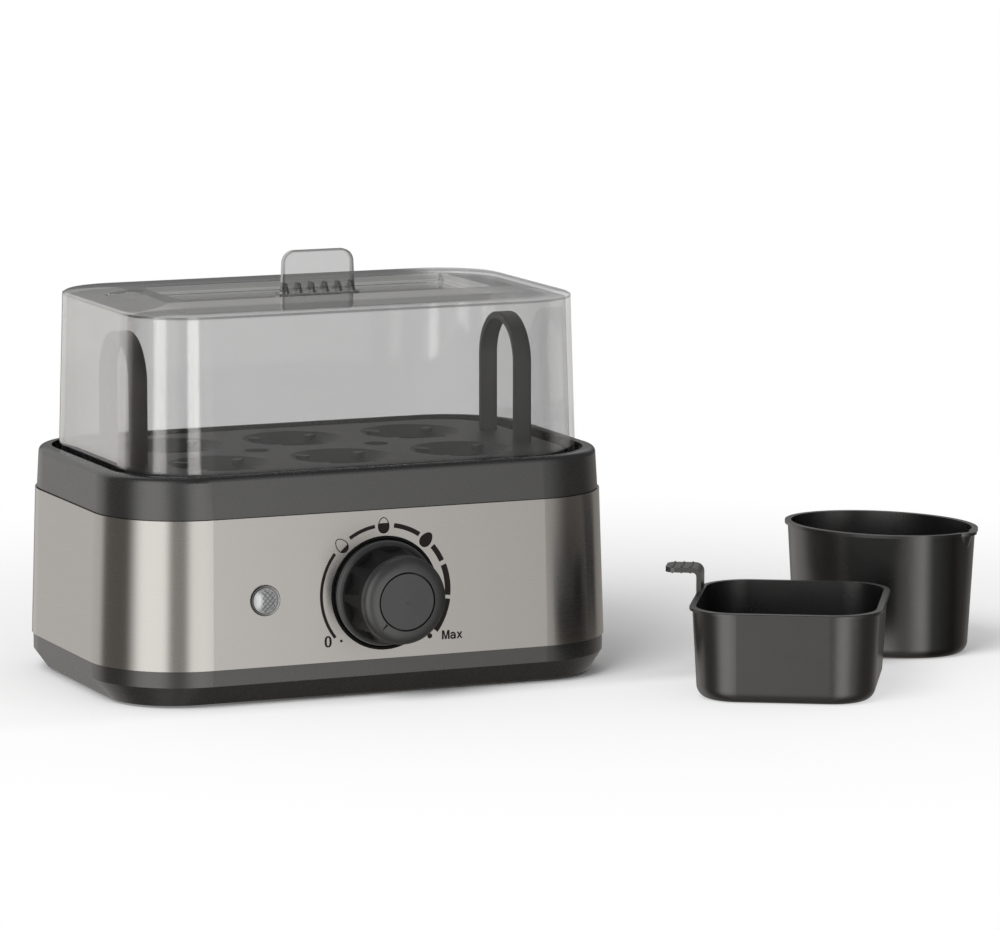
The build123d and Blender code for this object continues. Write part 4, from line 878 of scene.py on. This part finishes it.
class Panel:
    """The front panel, as a plane that leans back from the steel band's foot to its head."""

    def __init__(self) -> None:
        """Read the band's front at its foot and head from the frame."""
        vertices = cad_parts["steel_band"].data.vertices
        places = np.empty(3 * len(vertices), np.float32)
        vertices.foreach_get("co", places)
        _, y, z = places.reshape(-1, 3).astype(float).T
        self.foot_z, self.head_z = float(z.min()), float(z.max())
        self.foot_y = float(y[z < self.foot_z + MM].min())
        self.head_y = float(y[z > self.head_z - MM].min())

    def points(self, x: Array, z: Array, proud: Array | float) -> Array:
        """Return points on the panel.

        Args:
            x: Places along the panel.
            z: Heights above the table.
            proud: How far each point stands out of the steel.

        Returns:
            The points, with a last axis of three.
        """
        share = (z - self.foot_z) / (self.head_z - self.foot_z)
        y = self.foot_y + (self.head_y - self.foot_y) * share - proud
        return np.stack([x, y, z], -1)


@dataclass
class Assembly:
    """A sub-assembly: its body, the finish of each of its CAD nodes, and what it adds."""

    body: ClassVar[Body]
    finishes: ClassVar[dict[str, Finish]]

    def extras(self) -> list[Piece]:
        """Return the pieces that this sub-assembly adds to its CAD nodes."""
        return []

    def build(self) -> None:
        """Dress the CAD nodes and make the added pieces."""
        for name, finish in self.finishes.items():
            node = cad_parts[name]
            node.data.materials.clear()
            node.data.materials.append(finish.material())
            LOG.info("%s wears %s", name, finish.name)
        for piece in self.extras():
            LOG.info("%s added on %s", piece.name, self.body.value)


@dataclass
class Housing(Assembly):
    """Base shell, steel band, collar, feet, screws and the cord's gland."""

    body = Body.BASE
    finishes = {
        "base_shell": BLACK,
        "steel_band": STEEL,
        "top_collar": COLLAR,
        "rubber_feet": RUBBER,
        "base_screws": ZINC,
        "cord_gland": RUBBER,
    }


@dataclass
class HeatingDeck(Assembly):
    """Water pan with its seal and screws, the heating rod and the two cut-outs under it."""

    body = Body.BASE
    finishes = {
        "heating_pan": COATING,
        "pan_seal": RUBBER,
        "pan_screws": ZINC,
        "heating_element": SHEATH,
        "element_terminals": CERAMIC,
        "element_clips": ZINC,
        "limit_thermostat": CERAMIC,
        "thermal_fuse": ZINC,
        "terminal_block": IVORY,
        "terminal_screws": ZINC,
    }


@dataclass
class Lamp(Assembly):
    """Pilot lamp: bezel, prismatic lens, glow lamp, holder and retainer.

    The prisms set in along x between the two shares of the radius in prism_left, and end towards
    the rim between the two in prism_rim.
    """

    body = Body.BASE
    finishes = {
        "lamp_bezel": BEZEL,
        "glow_lamp": BULB,
        "lamp_holder": IVORY,
        "lamp_retainer": ZINC,
    }
    prism_mm: float = 2.05
    prism_depth_mm: float = 0.5
    prism_left: Pair = (-0.45, -0.05)
    prism_rim: Pair = (0.8, 0.9)
    crown_mm: float = 0.9
    crease_deg: float = 20.0
    rings: int = 48
    spokes: int = 144

    def extras(self) -> list[Piece]:
        """Return the lens."""
        return [self.lens()]

    def lens(self) -> Piece:
        """Make the lens: a low crown with rows of small bumps on its right two thirds.

        The front is a crown that falls with the square of the radius, plus the product of a
        cosine along x and a cosine along z. The back is flat.

        Returns:
            The lens.
        """
        low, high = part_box("lamp_lens")
        centre = (low + high) / 2
        radius = (high.x - low.x) / 2
        share = np.linspace(0.0, 1.0, self.rings)[:, None]
        turn = full_turn(self.spokes)[None, :]
        x = radius * share * np.cos(turn)
        z = radius * share * np.sin(turn)
        pitch = self.prism_mm * MM
        wave = 0.5 + 0.5 * np.cos(2 * np.pi * x / pitch) * np.cos(2 * np.pi * z / pitch)
        bare, full = self.prism_left
        last, end = self.prism_rim
        patterned = np.clip((x / radius - bare) / (full - bare), 0.0, 1.0)
        patterned *= np.clip((end - share) / (end - last), 0.0, 1.0)
        y = low.y + (self.crown_mm * share**2 + self.prism_depth_mm * wave * patterned) * MM
        face = np.stack([centre.x + x, y, centre.z + z], -1)
        back = face[-1:].copy()
        back[..., 1] = high.y
        sections = np.concatenate([face[1:], back])
        piece = closed_skin("lamp_lens_prisms", sections, True, self.crease_deg)
        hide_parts("lamp_lens")
        return wear(piece, LENS, self.body)


@dataclass(frozen=True)
class ArcMark:
    """One printed arc of the dial."""

    start_deg: float
    end_deg: float
    width_mm: float


@dataclass(frozen=True)
class EggMark:
    """One printed egg of the dial, and the share of it that is filled."""

    angle_deg: float
    filled: float


@dataclass(frozen=True)
class DotMark:
    """One printed dot of the dial."""

    name: str
    angle_deg: float
    reach_mm: float
    radius_mm: float


@dataclass(frozen=True)
class Oval:
    """An oval on the panel, round or drawn out towards an oblong by a power under 1.

    A point at an angle lies half the width times the cosine across, and half the height times
    the sine up. Sine and cosine are raised to the power without their sign.
    """

    middle_mm: Pair
    half_mm: Pair
    power: float = 1.0

    def points(self, turn: Array) -> Array:
        """Return its points at some angles, in millimetres, as points by two."""
        way = np.stack([np.cos(turn), np.sin(turn)], -1)
        return np.sign(way) * np.abs(way) ** self.power * self.half_mm + self.middle_mm


@dataclass
class Dial(Assembly):
    """Recess ring, rotary control and the scale printed round the knob.

    Marks are measured from the knob's axis, the word's letters from mark_start_mm. The outline of
    a straight letter is a row of places across and a row of heights.
    """

    body = Body.BASE
    finishes = {"knob_bezel": RECESS, "rotary_control": IVORY, "control_screws": ZINC}
    panel: Panel = field(default_factory=Panel)
    radius_mm: float = 25.9
    film_mm: float = 0.05
    egg_mm: Pair = (6.3, 4.7)
    egg_line_mm: float = 0.34
    egg_blunt: float = 0.17
    egg_points: int = 49
    steps_per_degree: float = 0.8
    arcs: tuple[ArcMark, ...] = (
        ArcMark(218.0, 141.3, 1.2),
        ArcMark(122.9, 98.3, 1.4),
        ArcMark(81.0, 56.3, 1.8),
        ArcMark(40.3, 24.8, 2.1),
        ArcMark(20.9, -5.6, 2.35),
        ArcMark(-8.7, -37.5, 2.6),
    )
    eggs: tuple[EggMark, ...] = (EggMark(132.2, 0.28), EggMark(90.4, 0.64), EggMark(48.4, 1.0))
    dots: tuple[DotMark, ...] = (
        DotMark("dial_zero_dot", 223.9, 25.0, 0.55),
        DotMark("dial_max_dot", -44.3, 25.6, 1.0),
    )
    zero_ring: Oval = Oval((-23.4, -17.3), (1.0, 1.9), 0.82)
    zero_line_mm: Pair = (0.58, 0.32)
    zero_points: int = 40
    dot_points: int = 24
    mark_start_mm: Pair = (23.35, -19.6)
    tall_letter_mm: tuple[tuple[float, ...], ...] = (
        (0.0, 0.7, 0.7, 1.28, 1.88, 2.46, 2.46, 3.16, 3.16, 2.28, 1.58, 0.88, 0.0),
        (0.0, 0.0, 2.3, 0.0, 0.0, 2.3, 0.0, 0.0, 3.45, 3.45, 1.05, 3.45, 3.45),
    )
    bowl: Oval = Oval((4.5, 0.78), (0.82, 0.6))
    bowl_line_mm: float = 0.6
    bowl_points: int = 32
    arch: Oval = Oval((4.54, 1.62), (0.84, 0.72))
    arch_start_deg: float = 160.0
    arch_points: int = 14
    arch_line_mm: float = 0.62
    upright_mm: tuple[Pair, ...] = ((5.38, 1.66), (5.38, 0.8), (5.38, 0.0))
    upright_line_mm: float = 0.68
    cross_start_mm: Pair = (6.05, 0.0)
    cross_letter_mm: tuple[tuple[float, ...], ...] = (
        (0.0, 0.72, 1.22, 1.72, 2.44, 1.6, 2.39, 1.68, 1.22, 0.76, 0.05, 0.84),
        (0.0, 0.0, 0.84, 0.0, 0.0, 1.3, 2.56, 2.56, 1.78, 2.56, 2.56, 1.3),
    )

    def film(self, name: str, loops: Array, depths: Array, ends: bool) -> Piece:
        """Make a thin closed film of ink.

        Args:
            name: The new piece's name.
            loops: Loops by points by two, across and up from the knob's axis.
            depths: How many thicknesses of the film each point stands out of the steel.
            ends: Whether the first and last loops are filled.

        Returns:
            The film.
        """
        low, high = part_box("knob_cap")
        x = (low.x + high.x) / 2 + loops[..., 0] * MM
        z = (low.z + high.z) / 2 + loops[..., 1] * MM
        sections = self.panel.points(x, z, depths * self.film_mm * MM)
        return wear(closed_skin(name, sections, ends), INK, self.body)

    def slab(self, name: str, outline: Array) -> Piece:
        """Make a filled mark from its outline, given as points by two."""
        return self.film(name, np.stack([outline, outline]), np.array([[0.0], [1.0]]), True)

    def stroke(self, name: str, line: Array, widths: Array) -> Piece:
        """Make a closed line of ink: a ring between an inner and an outer outline.

        Args:
            name: The new piece's name.
            line: Points by two of the ring's middle line.
            widths: The line's width at each point.

        Returns:
            The ring.
        """
        ahead = np.roll(line, -1, 0) - np.roll(line, 1, 0)
        side = np.stack([ahead[:, 1], -ahead[:, 0]], -1)
        side *= widths[:, None] / 2 / np.linalg.norm(side, axis=1, keepdims=True)
        loops = np.stack([line - side, line + side, line + side, line - side], 1)
        return self.film(name, loops, np.array([0.0, 0.0, 1.0, 1.0]), False)

    def ribbon(self, name: str, line: Array, width: float) -> Piece:
        """Make an open line of ink with square ends.

        Args:
            name: The new piece's name.
            line: Points by two of the middle line.
            width: The line's width.

        Returns:
            The line.
        """
        ahead = np.gradient(line, axis=0)
        side = np.stack([ahead[:, 1], -ahead[:, 0]], -1)
        side *= width / 2 / np.linalg.norm(side, axis=1, keepdims=True)
        return self.slab(name, np.concatenate([line + side, (line - side)[::-1]]))

    def arc(self, number: int, mark: ArcMark) -> Piece:
        """Make one arc of the scale: a sector of a ring.

        Args:
            number: The arc's number along the scale.
            mark: Where it starts and ends, and its width.

        Returns:
            The arc.
        """
        steps = int(abs(mark.end_deg - mark.start_deg) * self.steps_per_degree)
        turn = np.radians(np.linspace(mark.start_deg, mark.end_deg, steps))
        ray = np.stack([np.cos(turn), np.sin(turn)], -1)
        half = mark.width_mm / 2
        outline = [ray * (self.radius_mm + half), ray[::-1] * (self.radius_mm - half)]
        return self.slab(f"dial_arc_{number}", np.concatenate(outline))

    def egg_outline(self, angle_deg: float, last: float) -> Array:
        """Return the middle line of an egg's outline, blunt end towards the knob.

        Along its axis the egg runs as minus the cosine of t, and across it as the sine of t,
        widened towards the blunt end by a share of the cosine.

        Args:
            angle_deg: The egg's angle on the dial.
            last: The share of its length, from the blunt end, that the outline takes in.

        Returns:
            Points by two, from the knob's axis.
        """
        reach = math.acos(1 - 2 * last)
        t = np.linspace(-reach, reach, self.egg_points)
        if last == 1.0:
            t = t[:-1]
        length, width = ((size - self.egg_line_mm) / 2 for size in self.egg_mm)
        along = self.radius_mm - length * np.cos(t)
        across = width * np.sin(t) * (1 + self.egg_blunt * np.cos(t))
        return np.stack(turned(along, across, angle_deg), -1)

    def egg(self, number: int, mark: EggMark) -> list[Piece]:
        """Make one egg of the scale.

        Args:
            number: The egg's number along the scale.
            mark: Where it lies and how much of it is filled.

        Returns:
            Its line and its filled part.
        """
        line = self.egg_outline(mark.angle_deg, 1.0)
        widths = np.full(len(line), self.egg_line_mm)
        filled = self.egg_outline(mark.angle_deg, mark.filled)
        return [
            self.stroke(f"dial_egg_line_{number}", line, widths),
            self.slab(f"dial_egg_fill_{number}", filled),
        ]

    def dot(self, mark: DotMark) -> Piece:
        """Make one printed dot.

        Args:
            mark: Its name, place and size.

        Returns:
            The dot.
        """
        middle = turned(mark.reach_mm, 0.0, mark.angle_deg)
        disc = Oval(middle, (mark.radius_mm, mark.radius_mm))
        return self.slab(mark.name, disc.points(full_turn(self.dot_points)))

    def zero(self) -> Piece:
        """Make the plain figure 0, thicker at its sides by up to the second width."""
        turn = full_turn(self.zero_points)
        thin, more = self.zero_line_mm
        widths = thin + more * np.abs(np.cos(turn))
        return self.stroke("dial_zero", self.zero_ring.points(turn), widths)

    def top_mark(self) -> list[Piece]:
        """Make the mark at the scale's upper end: two straight letters and one round one.

        The round letter is an oval ring, an upright and an arch. The arch is part of an ellipse.

        Returns:
            The letters' pieces.
        """
        start = np.array(self.mark_start_mm)
        tall = np.array(self.tall_letter_mm).T + start
        bowl = self.bowl.points(full_turn(self.bowl_points)) + start
        bend = np.radians(np.linspace(self.arch_start_deg, 0.0, self.arch_points))
        arch = self.arch.points(bend) + start
        upright = np.array(self.upright_mm) + start
        cross = np.array(self.cross_letter_mm).T + start + self.cross_start_mm
        return [
            self.slab("dial_mark_tall", tall),
            self.stroke("dial_mark_bowl", bowl, np.full(len(bowl), self.bowl_line_mm)),
            self.ribbon("dial_mark_arch", arch, self.arch_line_mm),
            self.ribbon("dial_mark_upright", upright, self.upright_line_mm),
            self.slab("dial_mark_cross", cross),
        ]

    def extras(self) -> list[Piece]:
        """Return every printed mark of the dial."""
        pieces = [self.arc(number, mark) for number, mark in enumerate(self.arcs, 1)]
        for number, mark in enumerate(self.eggs, 1):
            pieces += self.egg(number, mark)
        pieces += [self.dot(mark) for mark in self.dots]
        return [*pieces, self.zero(), *self.top_mark()]


@dataclass
class Knob(Assembly):
    """Knob body, cap, shaft and spring ring."""

    body = Body.KNOB
    finishes = {"knob_body": KNOB, "knob_cap": CAP, "knob_shaft": ZINC, "knob_spring_ring": ZINC}


@dataclass
class Tray(Assembly):
    """Egg tray and its two strap handles."""

    body = Body.TRAY
    finishes = {"egg_tray": TRAY, "tray_handle_left": TRAY, "tray_handle_right": TRAY}


@dataclass
class Lid(Assembly):
    """Smoky lid and its finger plate."""

    body = Body.LID
    finishes = {"lid_shell": SMOKED, "lid_handle": PLATE}


@dataclass
class PoachingDish(Assembly):
    """The square dish with its finger tab."""

    body = Body.DISH
    finishes = {"poaching_dish": VESSEL}


@dataclass
class MeasuringCup(Assembly):
    """The oval cup with the piercing pin under it."""

    body = Body.CUP
    finishes = {"measuring_cup": CUP, "egg_pin": ZINC}


# Heights above the horizon between which a board's light sets in or fades out.
NADIR_DEG = (-95.0, -91.0)
ZENITH_DEG = (91.0, 95.0)
HIGH_WALL_DEG = (20.0, 60.0)
LOW_WALL_DEG = (0.0, 12.0)


@dataclass(frozen=True)
class Board:
    """A studio reflector seen in glossy surfaces, between two bearings round the object."""

    start_deg: float
    end_deg: float
    start_soft_deg: float
    end_soft_deg: float
    brightness: float
    high_deg: Pair = HIGH_WALL_DEG
    low_deg: Pair = NADIR_DEG

    def light(self, bearing: Signal, height: Signal) -> Signal:
        """Return the board's light: full between its bearings and heights, with soft edges.

        Args:
            bearing: The angle from -Y towards -X, in degrees.
            height: The angle above the horizon, in degrees.

        Returns:
            The light.
        """
        start, end = self.start_deg, self.end_deg
        rise, fall = self.start_soft_deg, self.end_soft_deg
        across = bearing.band(start - rise, start + rise, end - fall, end + fall)
        return across * height.band(*self.low_deg, *self.high_deg) * self.brightness


@dataclass
class Studio:
    """Camera, floor, lamp, sky and the reflector boards round the object."""

    camera_place_mm: Triple = (-841.62, -2156.39, 421.27)
    heading_deg: float = 23.0877
    tilt_deg: float = 8.3800
    lens_mm: float = 216.0
    sensor_mm: float = 36.0
    view_reach: float = 50.0
    floor_half: float = 6.0
    floor_middle_mm: Pair = (90.0, 20.0)
    floor_fade_mm: Pair = (100.0, 420.0)
    floor_front_mm: Pair = (62.0, 85.0)
    floor_lift: float = 0.5
    floor_tone: float = 0.95
    floor_roughness: float = 0.9
    sky_strength: float = 0.55
    key_place: Triple = (-1.25, -0.95, 1.75)
    key_power: float = 31.0
    key_size: float = 1.3
    dome_radius: float = 3.2
    dome_divisions: int = 4
    low_ambient: Colour = (0.155, 0.14, 0.125)
    high_ambient: Colour = (0.13, 0.13, 0.13)
    horizon_deg: Pair = (-2.0, 4.0)
    under_deg: Pair = (-62.0, -20.0)
    under_share: float = 0.17
    sky_tint: Colour = (1.0, 0.985, 0.965)
    boards: tuple[Board, ...] = (
        Board(-185.0, -103.0, 1.0, 14.0, 0.2, (-5.0, 3.0)),
        Board(-185.0, -125.0, 1.0, 12.0, 0.8, ZENITH_DEG, (4.0, 34.0)),
        Board(-44.0, -17.0, 13.0, 6.0, 0.43),
        Board(-25.0, -17.0, 4.5, 6.0, 0.37),
        Board(-17.0, 12.0, 6.0, 6.0, 1.5, (6.0, 20.0)),
        Board(12.0, 36.0, 6.0, 6.0, 0.27),
        Board(36.0, 79.0, 6.0, 12.0, 1.5),
        Board(130.0, 185.0, 7.0, 1.0, 0.62, ZENITH_DEG),
    )
    peak: float = 2.0
    lid_boards: tuple[Board, ...] = (
        Board(-112.0, -64.0, 10.0, 10.0, 1.2, LOW_WALL_DEG),
        Board(3.0, 21.0, 3.0, 3.0, 8.0, LOW_WALL_DEG),
        Board(55.0, 75.0, 3.0, 3.0, 5.0, LOW_WALL_DEG),
    )
    lid_peak: float = 9.0
    lid_dome_radius: float = 3.52

    def camera(self) -> None:
        """Set the camera where the photograph was taken, looking the same way."""
        data = bpy.data.cameras.new("photo_camera")
        data.lens = self.lens_mm
        data.sensor_width = self.sensor_mm
        data.clip_end = self.view_reach
        made = linked("photo_camera", data)
        made.location = Vector(self.camera_place_mm) * MM
        pitch, heading = math.radians(90.0 - self.tilt_deg), math.radians(self.heading_deg)
        made.rotation_euler = (pitch, 0.0, -heading)
        bpy.context.scene.camera = made

    def floor_paint(self, graph: Graph) -> Socket:
        """A matt tone, lifted to white for the camera away from the object and in front of it."""
        x, y, _ = graph.axes()
        away = distance(x - self.floor_middle_mm[0], y - self.floor_middle_mm[1])
        front = (0 - y).step(*self.floor_front_mm) * self.floor_lift
        white = 1 - (1 - away.step(*self.floor_fade_mm)) * (1 - front)
        sheet = graph.principled(
            Base_Color=(self.floor_tone, self.floor_tone, self.floor_tone, 1.0),
            Roughness=self.floor_roughness,
            Specular_IOR_Level=0.0,
        )
        glow = graph.node("ShaderNodeEmission").outputs[0]
        return graph.mix(graph.camera_rays() * white, sheet, glow)

    def floor(self) -> None:
        """Lay the pale floor: a wide flat sheet."""
        half = self.floor_half
        rim = [(-half, -half, 0.0), (half, -half, 0.0), (half, half, 0.0), (-half, half, 0.0)]
        mesh = bpy.data.meshes.new("studio_floor")
        mesh.from_pydata(rim, [], [(0, 1, 2, 3)])
        mesh.materials.append(painted("studio_floor", self.floor_paint))
        made = linked("studio_floor", mesh)
        made.visible_glossy = False

    def shell(self, name: str, radius: float, draw: Callable[[Graph], Socket]) -> Piece:
        """Make a dome that only glossy surfaces see.

        Args:
            name: The dome's name.
            radius: Its radius.
            draw: Draws its shader into a graph.

        Returns:
            The dome.
        """
        mesh = bpy.data.meshes.new(name)
        work = bmesh.new()
        bmesh.ops.create_icosphere(work, subdivisions=self.dome_divisions, radius=radius)
        bmesh.ops.reverse_faces(work, faces=work.faces)
        work.to_mesh(mesh)
        work.free()
        mesh.materials.append(painted(name, draw))
        made = linked(name, mesh)
        made.visible_camera = False
        made.visible_diffuse = False
        made.visible_transmission = False
        made.visible_shadow = False
        return made

    def glow(
        self, graph: Graph, boards: tuple[Board, ...], peak: float, low: Colour, high: Colour
    ) -> Socket:
        """Return the shader of a row of boards.

        The bearing is the angle from -Y towards -X. Far below the horizon the boards darken, as
        the table near the object does.

        Args:
            graph: The graph to draw in.
            boards: The boards.
            peak: The brightest that they can be together.
            low: The light between them, below the horizon.
            high: The light between them, above the horizon.

        Returns:
            The shader.
        """
        x, y, z = graph.axes()
        bearing = (0 - x).arc_tangent(0 - y) * math.degrees(1.0)
        height = z.arc_tangent(distance(x, y)) * math.degrees(1.0)
        light = sum(board.light(bearing, height) for board in boards)
        light *= self.under_share + (1 - self.under_share) * height.step(*self.under_deg)
        ambient = graph.blend(height.step(*self.horizon_deg), low, high)
        colour = graph.blend(light / peak, ambient, shade(self.sky_tint, peak))
        return graph.node("ShaderNodeEmission", inputs={"Color": colour}).outputs[0]

    def board_paint(self, graph: Graph) -> Socket:
        """Glow, and let the strips behind shine through."""
        light = self.glow(graph, self.boards, self.peak, self.low_ambient, self.high_ambient)
        clear = graph.node("ShaderNodeBsdfTransparent").outputs[0]
        return graph.node("ShaderNodeAddShader", inputs={0: light, 1: clear}).outputs[0]

    def strip_paint(self, graph: Graph) -> Socket:
        """Glow in upright strips, with black between them."""
        black = (0.0, 0.0, 0.0)
        return self.glow(graph, self.lid_boards, self.lid_peak, black, black)

    def domes(self) -> None:
        """Set the reflector boards all round, and the strips that only the lid mirrors."""
        self.shell("reflector_boards", self.dome_radius, self.board_paint)
        outer = self.shell("lid_strips", self.lid_dome_radius, self.strip_paint)
        group = bpy.data.collections.new("lid_strip_receivers")
        group.objects.link(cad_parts["lid_shell"])
        outer.light_linking.receiver_collection = group

    def lamp(self) -> None:
        """Hang the large key lamp up to the left, in front of the object."""
        data = bpy.data.lights.new("key_lamp", "AREA")
        data.size = self.key_size
        data.energy = self.key_power
        made = linked("key_lamp", data)
        made.location = self.key_place
        made.rotation_euler = (-Vector(self.key_place)).to_track_quat("-Z", "Y").to_euler()
        made.visible_glossy = False

    def sky(self) -> None:
        """Make the even sky: white to the camera, softer as light."""
        world = bpy.data.worlds.new("studio_sky")
        bpy.context.scene.world = world
        graph = Graph(world)
        strength = self.sky_strength + (1.0 - self.sky_strength) * graph.camera_rays()
        inputs = {"Color": (1.0, 1.0, 1.0, 1.0), "Strength": strength}
        graph.surface(graph.node("ShaderNodeBackground", inputs=inputs).outputs[0])

    def build(self) -> None:
        """Set up the whole studio."""
        self.camera()
        self.floor()
        self.domes()
        self.lamp()
        self.sky()
        bpy.context.scene.view_settings.view_transform = "Standard"


def main() -> None:
    """Dress every sub-assembly and set up the studio."""
    logging.basicConfig(level=logging.INFO, format="%(name)s: %(message)s")
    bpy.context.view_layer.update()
    for kind in (Housing, HeatingDeck, Lamp, Dial, Knob, Tray, Lid, PoachingDish, MeasuringCup):
        kind().build()
    Studio().build()


if __name__ == "__main__":
    main()
